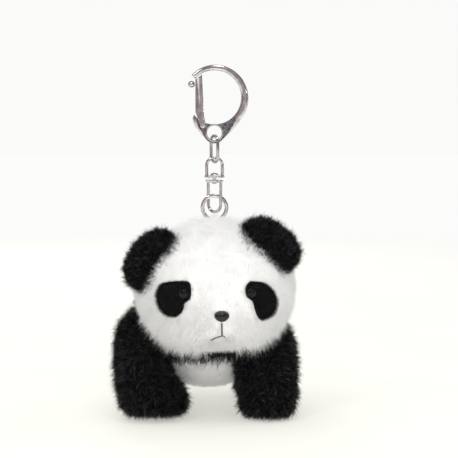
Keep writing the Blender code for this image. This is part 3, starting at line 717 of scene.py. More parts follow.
def swivel():
    half = BASE_SIZE[2] / 2
    upper_low, upper_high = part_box("swivel_upper_bow")
    lower_low, lower_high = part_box("swivel_lower_bow")
    upper_base, lower_base = upper_low.z + half, lower_high.z - half
    bow("swivel_bow_upper", "swivel_upper_bow", upper_base, upper_high.z, 0.0)
    bow("swivel_bow_lower", "swivel_lower_bow", lower_base, lower_low.z, LOWER_BOW_YAW)
    rivet_low, rivet_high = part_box("swivel_rivet")
    seat = upper_base + half + 0.1 * MM
    under = lower_base - half - 0.1 * MM
    radius = (rivet_high.x - rivet_low.x) / 2
    foot_radius = 0.8 * radius
    rise, drop = rivet_high.z - seat, under - rivet_low.z
    dome = [(radius * cos(turn), seat + rise * sin(turn)) for turn in np.linspace(1.5, 0.15, 9)]
    foot = [(foot_radius * cos(turn), under - drop * sin(turn)) for turn in (0.2, 0.7, 1.2)]
    profile = [(0.0, rivet_high.z), *dome, (radius * 0.97, seat), (RIVET_RADIUS, seat)]
    profile += [(RIVET_RADIUS, under), (foot_radius, under), *foot, (0.0, rivet_low.z)]
    fit("swivel_stud", turned("stud", profile), PLATED, "nickel", "swivel_rivet")


def ring_step(turned_by):
    share = min(max((turned_by - (1 - RING_CROSSOVER)) / RING_CROSSOVER, 0.0), 1.0)
    return share * share * (3 - 2 * share)


def split_ring():
    """Flat wire with rounded edges, wound nearly twice."""
    steps = 300
    centre_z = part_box("split_ring")[1].z - RING_RADIUS
    half_width, half_depth = RING_WIRE[0] / 2, RING_WIRE[1] / 2
    section = []
    for turn in turns(16):
        out, across = squared(turn, RING_SQUARENESS)
        section.append((half_width * out, half_depth * across))
    loops = []
    for step in range(steps + 1):
        turned_by = RING_TURNS * step / steps
        angle = RING_START - 2 * pi * turned_by
        along = RING_PITCH * (ring_step(turned_by) - 0.5)
        loop = []
        for out, across in section:
            reach = RING_RADIUS - half_width + out
            loop.append((reach * cos(angle), along + across, centre_z + reach * sin(angle)))
        loops.append(loop)
    bm = bmesh.new()
    lofted(bm, loops, "flat", "flat")
    fit("key_ring", mesh_from(bm, "ring"), PLATED, "nickel", "split_ring")


# ---------------------------------------------------------------- soft forms


def unit(vectors):
    return vectors / np.maximum(np.linalg.norm(vectors, axis=-1, keepdims=True), 1e-12)


def closed_faces(loops, around):
    """Faces of a stack of loops that is closed by one point at each end."""
    faces = []
    top = 1 + (loops - 1) * around
    last = loops * around + 1
    for step in range(around):
        after = (step + 1) % around
        faces.append((0, 1 + after, 1 + step))
        for low in range(1, top, around):
            faces.append((low + step, low + after, low + around + after, low + around + step))
        faces.append((last, top + step, top + after))
    return faces


def triangles(faces):
    made = []
    for face in faces:
        made.append(face[:3])
        if len(face) == 4:
            made.append((face[0], face[2], face[3]))
    return np.array(made)


def crossed(points, faces):
    """The cross product of two sides of each triangle."""
    first, second, third = points[faces].transpose(1, 0, 2)
    return np.cross(second - first, third - first)


def vertex_normals(points, faces):
    across = crossed(points, faces)
    normals = np.zeros_like(points)
    for corner in range(3):
        np.add.at(normals, faces[:, corner], across)
    return unit(normals)


class Form:
    """A closed soft surface where the pile's tips lie, as a stack of loops."""

    def __init__(self, points, loops, around):
        self.points = points
        self.faces = closed_faces(loops, around)
        self.triangles = triangles(self.faces)
        corners = points[self.triangles]
        facing_out = np.cross(corners[:, 1], corners[:, 2])
        if np.einsum("ij,ij->i", corners[:, 0], facing_out).sum() < 0:
            self.faces = [face[::-1] for face in self.faces]
            self.triangles = self.triangles[:, ::-1]
        self.normals = vertex_normals(points, self.triangles)

    def sunk(self, depth):
        """The same surface moved inwards by a depth, one number or one for each point."""
        inner = Form.__new__(Form)
        depths = np.broadcast_to(depth, len(self.points))[:, None]
        inner.points = self.points - self.normals * depths
        inner.faces, inner.triangles = self.faces, self.triangles
        inner.normals = vertex_normals(inner.points, inner.triangles)
        return inner

    def cloth(self, name, colour, fill, *nodes):
        """The padded cloth of this shape, in the place of its CAD nodes."""
        mesh = bpy.data.meshes.new(name)
        mesh.from_pydata(self.points.tolist(), [], self.faces)
        mesh.shade_smooth()
        made = stand_for(piece(name, mesh, BACKINGS[colour]), f"{colour}_pile", *nodes)
        return self


def ball_directions(loops=44, around=64):
    rows = [(0.0, 0.0, 1.0)]
    for level in range(1, loops + 1):
        tilt = pi * level / (loops + 1)
        for turn in turns(around):
            rows.append((sin(tilt) * cos(turn), sin(tilt) * sin(turn), cos(tilt)))
    rows.append((0.0, 0.0, -1.0))
    return np.array(rows), loops, around


class Ball:
    """A ball pulled out to a rounded box, with a test for points inside it."""

    def __init__(self, centre, radii, power=2.0, tilt=0.0):
        """radii are in millimetres, and tilt turns the ball about Y, in degrees."""
        self.centre, self.radii, self.power = np.array(centre), np.array(Vector(radii) * MM), power
        self.turn = np.array(Matrix.Rotation(radians(tilt), 3, "Y"))

    def form(self, shape=None):
        directions, loops, around = ball_directions()
        size = (np.abs(directions / self.radii) ** self.power).sum(axis=1)
        local = directions * (size ** (-1 / self.power))[:, None]
        if shape:
            local = shape(local)
        return Form(local @ self.turn.T + self.centre, loops, around)

    def holds(self, points, inset=0.0):
        local = (points - self.centre) @ self.turn
        return (np.abs(local / (self.radii - inset)) ** self.power).sum(axis=1) < 1.0


class Limb:
    """A leg as rows of (share of the height, left, right, front, back), in shares of its CAD box.

    It rises past the top of the box, into the body.
    """

    def __init__(self, node_name, rows, rise):
        low, high = (np.array(corner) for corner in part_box(node_name))
        size = high - low
        share, left, right, front, back = np.array(rows).T
        self.levels = low[2] + share * (size[2] + rise)
        self.sides = [low[0] + left * size[0], low[0] + right * size[0]]
        self.sides += [low[1] + front * size[1], low[1] + back * size[1]]

    def at(self, level):
        left, right, front, back = (np.interp(level, self.levels, side) for side in self.sides)
        return (left + right) / 2, (front + back) / 2, (right - left) / 2, (back - front) / 2

    def form(self, loops=46, around=56):
        low, high = self.levels[0], self.levels[-1]
        share = np.linspace(0.0, 1.0, loops)
        rows = []
        for level in low + (high - low) * (share * share * (3 - 2 * share) * 0.35 + share * 0.65):
            x, y, half_x, half_y = self.at(level)
            for turn in turns(around):
                across, along = squared(turn, LIMB_SQUARENESS)
                rows.append((x + half_x * across, y + half_y * along, level))
        ends = [(*self.at(level)[:2], level) for level in (low, high)]
        points = np.array([ends[0], *rows, ends[1]])
        return Form(relaxed(points, loops, around), loops, around)

    def holds(self, points, inset=0.0):
        x, y, half_x, half_y = self.at(points[:, 2])
        across, along = (points[:, 0] - x) / (half_x - inset), (points[:, 1] - y) / (half_y - inset)
        below, above = self.levels[0] + inset, self.levels[-1] - inset
        return (across**2 + along**2 < 1.0) & (points[:, 2] > below) & (points[:, 2] < above)


def relaxed(points, loops, around, times=3):
    """Evens out a stack of loops from level to level, keeping its two ends."""
    grid = points[1:-1].reshape(loops, around, 3)
    for _ in range(times):
        grid[1:-1] = (grid[:-2] + 2 * grid[1:-1] + grid[2:]) / 4
    points[1:-1] = grid.reshape(-1, 3)
    return points


# ---------------------------------------------------------------- pile


def scattered(form, count, rng, weight=None):
    """Points spread evenly over a form, with its normals there."""
    corners = form.points[form.triangles]
    area = np.linalg.norm(crossed(form.points, form.triangles), axis=1)
    if weight is not None:
        area = area * weight(corners.mean(axis=1))
    picked = rng.choice(len(area), size=count, p=area / area.sum())
    first, second = rng.random(count), rng.random(count)
    over = first + second > 1
    first[over], second[over] = 1 - first[over], 1 - second[over]
    shares = np.stack([1 - first - second, first, second], axis=1)[:, :, None]
    spots = (corners[picked] * shares).sum(axis=1)
    normals = (form.normals[form.triangles[picked]] * shares).sum(axis=1)
    return spots, unit(normals)


def swirl(points, rng, wavelength, waves=10):
    """A smooth, seeded field of directions, for cowlicks in the coat."""
    field = np.zeros_like(points)
    for _ in range(waves):
        along = unit(rng.normal(size=3)) * 2 * pi / (wavelength * rng.uniform(0.7, 1.5))
        phase = points @ along + rng.uniform(0, 2 * pi)
        field += np.sin(phase)[:, None] * rng.normal(size=3)
    return field / waves**0.5


def clumped(roots, tips, rng, per_clump, pull):
    """Draws each tip towards the tip of the nearest leading strand."""
    leaders = rng.choice(len(roots), size=max(len(roots) // per_clump, 1), replace=False)
    tree = KDTree(len(leaders))
    for number, leader in enumerate(leaders):
        tree.insert(roots[leader], number)
    tree.balance()
    nearest = leaders[[tree.find(root)[1] for root in roots]]
    share = pull * rng.uniform(0.5, 1.0, size=len(roots))
    return tips + (tips[nearest] - tips) * share[:, None]


# The faces of one strand: three corners at the root, three half way and the tip
STRAND_FACES = np.array(
    [
        (0, 2, 1), (0, 1, 4), (0, 4, 3), (1, 2, 5), (1, 5, 4),
        (2, 0, 3), (2, 3, 5), (3, 4, 6), (4, 5, 6), (5, 3, 6),
    ]
)  # fmt: skip
STRAND_HEIGHTS = np.array([0.0, 0.0, 0.0, 0.5, 0.5, 0.5, 1.0])


def strand_mesh(name, roots, mids, tips, radii, shades, rng, soft_normals=None):
    """Tapered three-sided strands, each closed, with (shade, distance along it) as its UVs.

    Soft normals, one for each strand, let light pass between the strands of a dense pale coat.
    """
    count = len(roots)
    along = unit(mids - roots)
    side = unit(np.cross(along, rng.normal(size=(count, 3))))
    other = np.cross(along, side)
    points = np.empty((count, 7, 3))
    for corner, turn in enumerate(turns(3)):
        out = (cos(turn) * side + sin(turn) * other) * radii[:, None]
        points[:, corner] = roots + out
        points[:, 3 + corner] = mids + out * 0.8
    points[:, 6] = tips
    faces = (np.arange(count)[:, None, None] * 7 + STRAND_FACES[None]).reshape(-1)
    height = STRAND_HEIGHTS[STRAND_FACES].reshape(-1)
    uvs = np.empty((count, len(height), 2))
    uvs[:, :, 0] = shades[:, None]
    uvs[:, :, 1] = height[None]
    mesh = bpy.data.meshes.new(name)
    mesh.vertices.add(count * 7)
    mesh.vertices.foreach_set("co", points.astype(np.float32).ravel())
    mesh.loops.add(len(faces))
    mesh.loops.foreach_set("vertex_index", faces.astype(np.int32))
    mesh.polygons.add(len(faces) // 3)
    mesh.polygons.foreach_set("loop_start", np.arange(0, len(faces), 3, dtype=np.int32))
    mesh.update(calc_edges=True)
    layer = mesh.uv_layers.new(name=STRAND_UV)
    layer.data.foreach_set("uv", uvs.astype(np.float32).ravel())
    mesh.shade_smooth()
    if soft_normals is not None:
        outward = np.empty((count, 7, 3), np.float32)
        mesh.vertex_normals.foreach_get("vector", outward.reshape(-1))
        shaded = unit(outward * (1 - SOFTNESS) + soft_normals[:, None] * SOFTNESS)
        mesh.normals_split_custom_set_from_vertices(shaded.reshape(-1, 3).tolist())
    return mesh


def coat(
    name, skin, count, colour, seed, comb, length, lean, keep,
    weight=None, cowlick=0.3, guard=0.0, curl=0.28, pull=0.15, per_clump=12, radius=STRAND_RADIUS,
):  # fmt: skip
    """Pile over a skin. comb is a direction or a function of the roots; length, in millimetres,
    and lean are a number or such a function. keep picks the roots that stay."""
    rng = np.random.default_rng(seed)
    roots, normals = scattered(skin, count, rng, weight)
    kept = keep(roots)
    roots, normals = roots[kept], normals[kept]
    flow = (comb(roots) if callable(comb) else np.array(comb)) + cowlick * swirl(roots, rng, 9 * MM)
    flow = flow - normals * np.einsum("ij,ij->i", flow, normals)[:, None]
    reach = (length(roots) if callable(length) else length) * MM
    reach = reach * rng.uniform(0.72, 1.12, size=len(roots))
    guards = rng.random(len(roots)) < guard
    reach[guards] *= GUARD_STRETCH
    half = (reach * 0.5)[:, None]
    lean = lean(roots)[:, None] if callable(lean) else lean
    start = unit(normals + 0.6 * lean * flow + 0.16 * rng.normal(size=roots.shape))
    end = unit(normals * (1 - 0.6 * lean) + 1.2 * lean * flow + curl * rng.normal(size=roots.shape))
    mids = roots + start * half
    pull = pull * np.where(guards, GUARD_PULL, 1.0)
    tips = clumped(roots, mids + end * half, rng, per_clump, pull)
    radii = radius * rng.uniform(0.75, 1.2, size=len(roots))
    sunk = roots - normals * ROOT_DEPTH
    for spots in (sunk, mids, tips):
        spots[:, 2] = np.maximum(spots[:, 2], SOLE_Z)
    soft_normals = normals if colour == "white" else None
    mesh = strand_mesh(name, sunk, mids, tips, radii, rng.random(len(roots)), rng, soft_normals)
    carried(piece(name, mesh, PILES[colour]), "plush")


# ---------------------------------------------------------------- the panda's forms

HEAD = Ball(middle_of("head_cover"), (35.2, 28.5, 27.4), HEAD_POWER)
SHOULDER = Ball(off_middle("shoulder_cover", 0.0, -2.54, -0.46), (33.5, 21.5, 20.5))
TORSO = Ball(off_middle("torso_cover", 0.0, -0.92, -0.6), (30.0, 33.0, 27.2), tilt=-5)
EARS = {
    "left": Ball(off_middle("ear_left", -0.54, -0.72, -0.11), (14.1, 7.4, 10.0), 2.3, 36.5),
    "right": Ball(off_middle("ear_right", 1.19, -1.16, -0.53), (14.3, 7.4, 10.4), 2.3, -54),
}
TAIL = Ball(off_middle("tail", 0.0, -0.44, 0.0), (8.0, 6.5, 7.0))
HIND_LEG_ROWS = [
    (0.0, 0.1, 0.9, 0.1, 0.9), (0.06, 0.03, 0.97, 0.03, 0.97), (0.2, 0.0, 1.0, 0.0, 1.0),
    (0.5, 0.0, 1.0, 0.0, 1.0), (0.75, 0.04, 0.96, 0.04, 0.98), (1.0, 0.3, 0.7, 0.3, 0.7),
]  # fmt: skip
LEG_ROWS = {
    "front_leg_left": [
        (0.0, 0.10, 0.88, 0.12, 0.88), (0.06, 0.04, 0.95, 0.05, 0.94), (0.2, 0.0, 1.0, 0.0, 0.98),
        (0.45, -0.05, 1.0, 0.02, 1.0), (0.7, 0.0, 0.98, 0.08, 1.0), (0.88, 0.12, 0.86, 0.2, 0.94),
        (1.0, 0.35, 0.62, 0.4, 0.75),
    ],
    "front_leg_right": [
        (0.0, 0.16, 0.9, 0.44, 0.86), (0.02, 0.12, 0.97, 0.3, 0.9), (0.05, 0.08, 1.03, 0.18, 0.93),
        (0.1, 0.05, 1.07, 0.06, 0.96), (0.18, 0.01, 1.08, 0, 0.99), (0.28, -0.02, 0.97, 0.01, 1),
        (0.4, -0.04, 0.83, 0.04, 1), (0.5, -0.05, 0.77, 0.06, 1), (0.72, -0.04, 0.78, 0.12, 1),
        (0.88, 0.05, 0.78, 0.22, 0.96), (1.0, 0.3, 0.6, 0.4, 0.8),
    ],
    "hind_leg_left": HIND_LEG_ROWS,
    "hind_leg_right": HIND_LEG_ROWS,
}  # fmt: skip
# How far each leg rises past the top of its CAD box, in millimetres
LEG_RISES = {
    "front_leg_left": 5.15, "front_leg_right": 6.3, "hind_leg_left": 1.9, "hind_leg_right": 1.9
}  # fmt: skip
LEGS = {name: Limb(f"{name}_cover", rows, LEG_RISES[name] * MM) for name, rows in LEG_ROWS.items()}

# Face, as (x, z) on the front of the head, in millimetres
EYE_SPOTS = {"left": (15.0, -93.7), "right": (-12.5, -93.9)}
NOSE_SPOT = (3.0, -103.6)
MOUTH_TOP, MOUTH_FORK = (3.0, -106.4), (3.1, -112.2)
MOUTH_CORNERS = ((-1.6, -114.3), (4.6, -113.0))
# The middle of each patch, and its corners from there
PATCH_OUTLINES = {
    "left": (
        (19.0, -97.4),
        [
            (-3.6, 8.3), (1.1, 7.6), (4.7, 4.8), (6.9, 0.4), (6.6, -3.9), (4.6, -6.8), (1.3, -8.0),
            (-0.9, -6.9), (-2.1, -3.4), (-3.0, -0.1), (-5.6, 2.1), (-6.2, 5.3), (-5.2, 7.5),
        ],
    ),
    "right": (
        (-17.0, -97.0),
        [
            (-4.4, 6.9), (0.9, 8.0), (6.2, 7.9), (7.3, 5.0), (6.8, 0.9), (4.4, -0.9), (3.8, -4.0),
            (1.1, -6.5), (-2.7, -6.3), (-6.0, -3.4), (-7.2, 0.8), (-6.5, 4.4),
        ],
    ),
}  # fmt: skip
# The rise of a felt patch at shares of the way from its middle to its edge
PATCH_RISES = (
    (0.2, 1.0), (0.45, 0.99), (0.7, 0.97), (0.85, 0.9), (0.94, 0.75), (0.985, 0.5), (1.0, 0.2)
)  # fmt: skip


def on_face(spot, lift=0.0):
    """The point at (x, z) in millimetres on the front of the head, lifted off it, and the normal."""
    centre, radii = Vector(HEAD.centre), Vector(HEAD.radii)
    across, up = spot[0] * MM - centre.x, spot[1] * MM - centre.z
    used = abs(across / radii.x) ** HEAD_POWER + abs(up / radii.z) ** HEAD_POWER
    local = Vector((across, -radii.y * (1 - used) ** (1 / HEAD_POWER), up))
    slopes = []
    for part, reach in zip(local, radii):
        slopes.append((1 if part > 0 else -1) * abs(part / reach) ** (HEAD_POWER - 1) / reach)
    normal = Vector(slopes).normalized()
    return centre + local + normal * lift, normal


def on_patch(centre, corner, share, lift=0.0):
    """The same at a share of the way from the middle of a patch to a corner."""
    return on_face((centre[0] + corner[0] * share, centre[1] + corner[1] * share), lift)


def facing(point, normal):
    side = Vector((0, 0, 1)).cross(normal).normalized()
    up = normal.cross(side)
    turn = Matrix((side, up, normal)).transposed().to_4x4()
    return Matrix.Translation(point) @ turn


def near(points, spots, inner, outer):
    """1 within the inner distance of the nearest spot, 0 past the outer one."""
    spots = np.array(spots)
    distance = np.sqrt(((points[:, None] - spots[None]) ** 2).sum(axis=2)).min(axis=1)
    share = np.clip((outer - distance) / (outer - inner), 0.0, 1.0)
    return share * share * (3 - 2 * share)


def closed_curve(corners, steps=6):
    """A smooth closed curve through corners in (x, z)."""
    made = []
    count = len(corners)
    for number in range(count):
        a, b, c, d = (Vector(corners[(number + shift) % count]) for shift in (-1, 0, 1, 2))
        square, cube = 2 * a - 5 * b + 4 * c - d, 3 * b - a - 3 * c + d
        for step in range(steps):
            t = step / steps
            spot = 0.5 * (2 * b + (c - a) * t + square * t * t + cube * t**3)
            made.append((spot.x, spot.y))
    return made


def mouth_paths():
    """The embroidered line and its two branches, as points on the face."""
    fork = Vector(MOUTH_FORK)
    paths = [[Vector(MOUTH_TOP).lerp(fork, share) for share in np.linspace(0, 1, 10)]]
    for corner in MOUTH_CORNERS:
        path = []
        for share in np.linspace(0, 1, 9):
            path.append(fork.lerp(Vector(corner), share) + Vector((0.0, 0.25)) * sin(pi * share))
        paths.append(path)
    return [[on_face(spot, 0.45 * MM)[0] for spot in path] for path in paths]


FACE_SPOTS = [on_face(NOSE_SPOT)[0], *[point for path in mouth_paths() for point in path]]
PATCH_SPOTS = [
    on_patch(centre, corner, share)[0]
    for centre, corners in PATCH_OUTLINES.values()
    for share in (0.3, 0.75, 1.0)
    for corner in corners
]


def bare_face(points):
    """How short the pile is trimmed: fully round the nose, mouth and patches."""
    face = near(points, FACE_SPOTS, 1.2 * MM, 6 * MM)
    return np.maximum(face, near(points, PATCH_SPOTS, 0.8 * MM, 4.5 * MM))


def rising(values, start, width):
    """0 up to the start, and 1 from a width past it."""
    return np.clip((values - start) / width, 0.0, 1.0)


def crown(points):
    """Where the coat stands higher: on top of the head, well in front of the ribbon."""
    high = rising(points[:, 2], -0.080, 0.010)
    ahead = rising(-points[:, 1], 0.009, 0.006)
    sideways = points * np.array([1.0, 0.0, 0.0])
    return high * ahead * near(sideways, [(0.0, 0.0, 0.0)], 8 * MM, 24 * MM)


def jaw(points):
    """The longer fringe under the cheeks and the chin."""
    low = rising(-points[:, 2], 0.104, 0.010)
    return low * (1 - bare_face(points))


def cheek_edges(spots):
    """Where long white strands lie over the black coat: along both cheeks, not under the chin."""
    aside = np.clip(np.abs(spots[:, 0] - 3 * MM) / (12 * MM) - 0.4, 0.0, 1.0)
    low = rising(-spots[:, 2], 0.098, 0.008)
    return low * (1 - bare_face(spots)) * aside + 1e-6


def outside(points, forms, inset):
    inside = np.zeros(len(points), bool)
    for form in forms:
        inside |= form.holds(points, inset)
    return ~inside


def clear_of(*forms, inset=3.4):
    """A test for roots that aren't inside the other forms, drawn in by an inset in millimetres."""
    return lambda points: outside(points, forms, inset * MM)


def clear_of_patches(points):
    """True where no felt patch covers the skin."""
    covered = np.zeros(len(points), bool)
    for centre, corners in PATCH_OUTLINES.values():
        outline = np.array(closed_curve(corners, 2)) * 0.88
        across, up = ((points[:, [0, 2]] / MM) - np.array(centre)).T
        inside = np.zeros(len(points), bool)
        for first, second in zip(outline, np.roll(outline, -1, axis=0)):
            crosses = (first[1] > up) != (second[1] > up)
            with np.errstate(divide="ignore", invalid="ignore"):
                share = (up - first[1]) / (second[1] - first[1])
                inside ^= crosses & (across < (second[0] - first[0]) * share + first[0])
        covered |= inside & (points[:, 1] < HEAD.centre[1])
    return ~covered


# ---------------------------------------------------------------- the panda's coat

TUFTED = {"pull": 0.78, "cowlick": 0.6, "per_clump": 8, "guard": 0.2, "radius": 0.09 * MM}


def head():
    outer = HEAD.form()
    depth = SKIN_DEPTH - 1.3 * MM * bare_face(outer.points) - 1.9 * MM * crown(outer.points)
    skin = outer.sunk(depth).cloth("head_skin", "white", 0.9, "head_cover", "head_stuffing")
    muzzle = np.array(on_face(NOSE_SPOT)[0]) + np.array([0.0, 0.012, 0.0])
    off_others = clear_of(*EARS.values(), SHOULDER, TORSO, inset=3.0)

    def flow(points):
        return unit(points - muzzle) * 0.7

    def length(points):
        return 3.7 - 2.2 * bare_face(points) + 1.6 * crown(points) + 1.0 * jaw(points)

    def lean(points):
        return 0.45 + 0.4 * bare_face(points) + 0.1 * jaw(points)

    def keep(points):
        return off_others(points) & clear_of_patches(points)

    def fringe_flow(points):
        aside = unit((points - HEAD.centre) * np.array([1.0, 0.0, 0.0]))
        return aside * 0.3 + np.array([0.0, -0.15, -1.0])

    def fringe_length(points):
        return 3.8 + 2.6 * jaw(points)

    for number in range(3):
        coat(
            f"head_pile_{number}", skin, 21000, "white", 11 + number, flow, length, lean, keep,
            pull=0.15, curl=0.32, cowlick=0.3, per_clump=8, radius=FINE_STRAND,
        )  # fmt: skip
    coat(
        "head_fringe", skin, 14000, "white", 21, fringe_flow, fringe_length, 0.5, keep,
        weight=cheek_edges, pull=0.8, curl=0.4, per_clump=9, guard=0.25, radius=FINE_STRAND,
    )  # fmt: skip


def dished(local):
    """An ear hollowed a little on its front."""
    cup = np.exp(-((local[:, 0] / 0.009) ** 2) - ((local[:, 2] - 0.002) / 0.007) ** 2)
    local[:, 1] += 0.0022 * cup * np.clip(-local[:, 1] / 0.005, 0.0, 1.0)
    return local


def ears():
    def flow(points):
        return unit(points - HEAD.centre) + np.array([0.0, -0.3, 0.3])

    for number, (side, ball) in enumerate(EARS.items()):
        skin = ball.form(dished).sunk(EAR_SKIN_DEPTH)
        skin.cloth(f"ear_{side}_skin", "black", 0.5, f"ear_{side}")
        coat(
            f"ear_{side}_pile", skin, 14000, "black", 31 + number, flow, 3.5, 0.4,
            clear_of(HEAD, inset=3.2),
            pull=0.75, curl=0.5, cowlick=0.8, per_clump=8, guard=0.18, radius=FINE_STRAND,
        )  # fmt: skip


def chest_length(points):
    """The coat of the shoulders, longest where it ends over the belly on the panda's right."""
    low = rising(-points[:, 2], 0.112, 0.006) * (points[:, 1] < 0.0)
    aside = rising(-points[:, 0], 0.010, 0.008)
    return 4.4 + low * (1.3 + 1.6 * aside)


def shoulders():
    skin = SHOULDER.form().sunk(SKIN_DEPTH)
    skin.cloth("shoulder_skin", "black", 0.85, "shoulder_cover")
    keep = clear_of(HEAD, TORSO, LEGS["front_leg_left"], LEGS["front_leg_right"])
    coat(
        "shoulder_pile", skin, 18000, "black", 41, (0.0, -0.2, -1.0), chest_length, 0.75, keep,
        curl=0.45, **TUFTED,
    )  # fmt: skip


def torso():
    skin = TORSO.form().sunk(SKIN_DEPTH)
    skin.cloth("torso_skin", "white", 0.85, "torso_cover", "body_stuffing")
    keep = clear_of(HEAD, SHOULDER, TAIL, *LEGS.values())
    for number in range(2):
        coat(
            f"torso_pile_{number}", skin, 19000, "white", 51 + number, (0.0, 0.6, -0.6), 3.9, 0.5,
            keep, pull=0.4, curl=0.42, cowlick=0.5, per_clump=8,
        )  # fmt: skip


def sole_weight(spots):
    """Fewer strands under the feet, where nothing shows."""
    return np.where(spots[:, 2] < SOLE_Z + 3.2 * MM, 0.45, 1.0)


def leg_length(points):
    """The coat of a leg, shorter at the foot."""
    return 4.1 - 1.6 * rising(-points[:, 2], -SOLE_Z - 0.004, 0.004)


def legs():
    for number, (name, limb) in enumerate(LEGS.items()):
        skin = limb.form().sunk(SKIN_DEPTH)
        skin.cloth(f"{name}_skin", "black", 0.85, f"{name}_cover", f"{name}_stuffing")
        centre = np.array(middle_of(f"{name}_cover"))

        def flow(points, centre=centre):
            return np.array([0.0, 0.0, -0.9]) + 0.35 * unit((points - centre) * np.array([1, 1, 0]))

        count = 19500 if name.startswith("front") else 14000
        coat(
            f"{name}_pile", skin, count, "black", 61 + number, flow, leg_length, 0.55,
            clear_of(HEAD, TORSO, SHOULDER, inset=3.6), curl=0.5, weight=sole_weight, **TUFTED,
        )  # fmt: skip


def tail():
    skin = TAIL.form().sunk(TAIL_SKIN_DEPTH).cloth("tail_skin", "white", 0.8, "tail")
    keep = clear_of(TORSO, inset=3.2)
    coat("tail_pile", skin, 3600, "white", 71, (0.0, 0.5, -0.5), 3.4, 0.5, keep)


# ---------------------------------------------------------------- face


def eye_patches():
    """Pressed black felt with a few grey fibres."""
    tones = [(0.35, (0.002, 0.0018, 0.002)), (0.75, (0.010, 0.009, 0.010))]
    relief = ((2400.0, 4.0), 0.6, 0.0002)
    rough = {"Roughness": 0.95, "Specular_IOR_Level": 0.1}
    felt = mottled("felt_black", tones, (4200.0, 5.0, 0.7, 0.3), relief=relief, **rough)
    for number, (side, (centre, corners)) in enumerate(PATCH_OUTLINES.items()):
        outline = closed_curve(corners)
        loops = [
            [on_patch(centre, corner, share, FELT_THICKNESS * rise)[0] for corner in outline]
            for share, rise in (*PATCH_RISES, (0.97, FELT_SUNK / FELT_THICKNESS))
        ]
        bm = bmesh.new()
        lofted(bm, loops, on_face(centre, FELT_THICKNESS)[0], on_face(centre, FELT_SUNK)[0])
        mesh, node_name = mesh_from(bm, "patch"), f"eye_patch_{side}"
        fit(f"{node_name}_felt", mesh, felt, "black_felt", node_name, angle=70)
        patch_fuzz(side, centre, outline, 81 + number)


def patch_fuzz(side, centre, outline, seed):
    """Short fibres that stand off the felt and past its edge."""
    rng = np.random.default_rng(seed)
    count = FUZZ_COUNT
    share = np.sqrt(rng.uniform(0.0, 1.0, count))
    edge = rng.random(count) < 0.35
    share[edge] = rng.uniform(0.9, 0.99, edge.sum())
    picked = rng.integers(len(outline), size=count)
    roots, normals, outward = [], [], []
    for reach, pick in zip(share, picked):
        corner, following = Vector(outline[pick]), Vector(outline[(pick + 1) % len(outline)])
        corner = corner + (following - corner) * rng.random()
        point, normal = on_patch(centre, corner, reach, FELT_THICKNESS * 0.85)
        roots.append(point)
        normals.append(normal)
        outward.append((corner.x, 0.0, corner.y))
    roots, normals, outward = np.array(roots), np.array(normals), unit(np.array(outward))
    flow = outward * share[:, None] ** 3 + 0.5 * rng.normal(size=roots.shape)
    reach = (rng.uniform(0.5, 1.15, count) * np.where(edge, 1.5, 1.0))[:, None] * MM
    mids = roots + unit(normals + 0.5 * flow) * reach * 0.5
    tips = mids + unit(normals * 0.6 + flow) * reach * 0.5
    shades, radii = rng.random(count), np.full(count, FUZZ_RADIUS)
    mesh = strand_mesh("fuzz", roots, mids, tips, radii, shades, rng)
    carried(piece(f"eye_patch_{side}_fuzz", mesh, PILES["black"]), "plush")


def bead_mesh(half_width, half_height, height, taper=0.0, around=56, rings=14):
    """A domed bead, wider at the top by its taper, on a short skirt that goes into the cloth."""
    loops = []
    for ring in range(1, rings + 1):
        lie = pi / 2 * ring / rings
        loop = []
        for turn in turns(around):
            across = half_width * cos(turn) * (1 + taper * sin(turn))
            spot = (across * sin(lie), half_height * sin(turn) * sin(lie), height * cos(lie))
            loop.append(spot)
        loops.append(loop)
    loops.append([(x * 0.96, y * 0.96, -1.2 * MM) for x, y, _ in loops[-1]])
    bm = bmesh.new()
    lofted(bm, loops, (0.0, 0.0, height), "flat")
    return mesh_from(bm, "bead")


def eyes():
    dark, light = (0.002, 0.0015, 0.0015), (0.006, 0.005, 0.0055)
    black = gloss("bead_black", 0.22, dark, light, (0.03, 0.08), 1500.0, 0.00001)
    for side, spot in EYE_SPOTS.items():
        mesh = bead_mesh(BEAD_RADIUS, BEAD_RADIUS, BEAD_HEIGHT)
        mesh.transform(facing(*on_face(spot, FELT_THICKNESS * 0.9)))
        fit(f"eye_{side}_bead", mesh, black, "black_gloss", f"eye_{side}", angle=50)


def nose():
    dark, light = (0.0035, 0.0028, 0.0022), (0.011, 0.009, 0.007)
    brown = gloss("nose_brown", 0.5, dark, light, (0.09, 0.16), 3200.0, 0.00002)
    mesh = bead_mesh(*NOSE_SIZE, NOSE_TAPER)
    mesh.transform(facing(*on_face(NOSE_SPOT, 0.25 * MM)))
    fit("nose_bead", mesh, brown, "nose_gloss", "nose", angle=50)


def twisted(name, path, radius, plies=2, pitch=1.1 * MM):
    """Plies of thread laid round each other along a path."""
    points = np.array(path)
    steps = np.linalg.norm(np.diff(points, axis=0), axis=1)
    lengths = np.concatenate([[0.0], np.cumsum(steps)])
    places = np.linspace(0.0, lengths[-1], max(int(lengths[-1] / (0.08 * MM)), 12))
    line = np.stack([np.interp(places, lengths, points[:, axis]) for axis in range(3)], axis=1)
    along = unit(np.gradient(line, axis=0))
    side = unit(np.cross(along, np.array([0.0, 1.0, 0.0])))
    other = np.cross(along, side)
    bm = bmesh.new()
    for ply in range(plies):
        turn = (2 * pi * (places / pitch + ply / plies))[:, None]
        wound = line + (np.cos(turn) * side + np.sin(turn) * other) * radius * 0.75
        bm.from_mesh(tube(name, [tuple(point) for point in wound], radius, roundness=2))
    return mesh_from(bm, name)


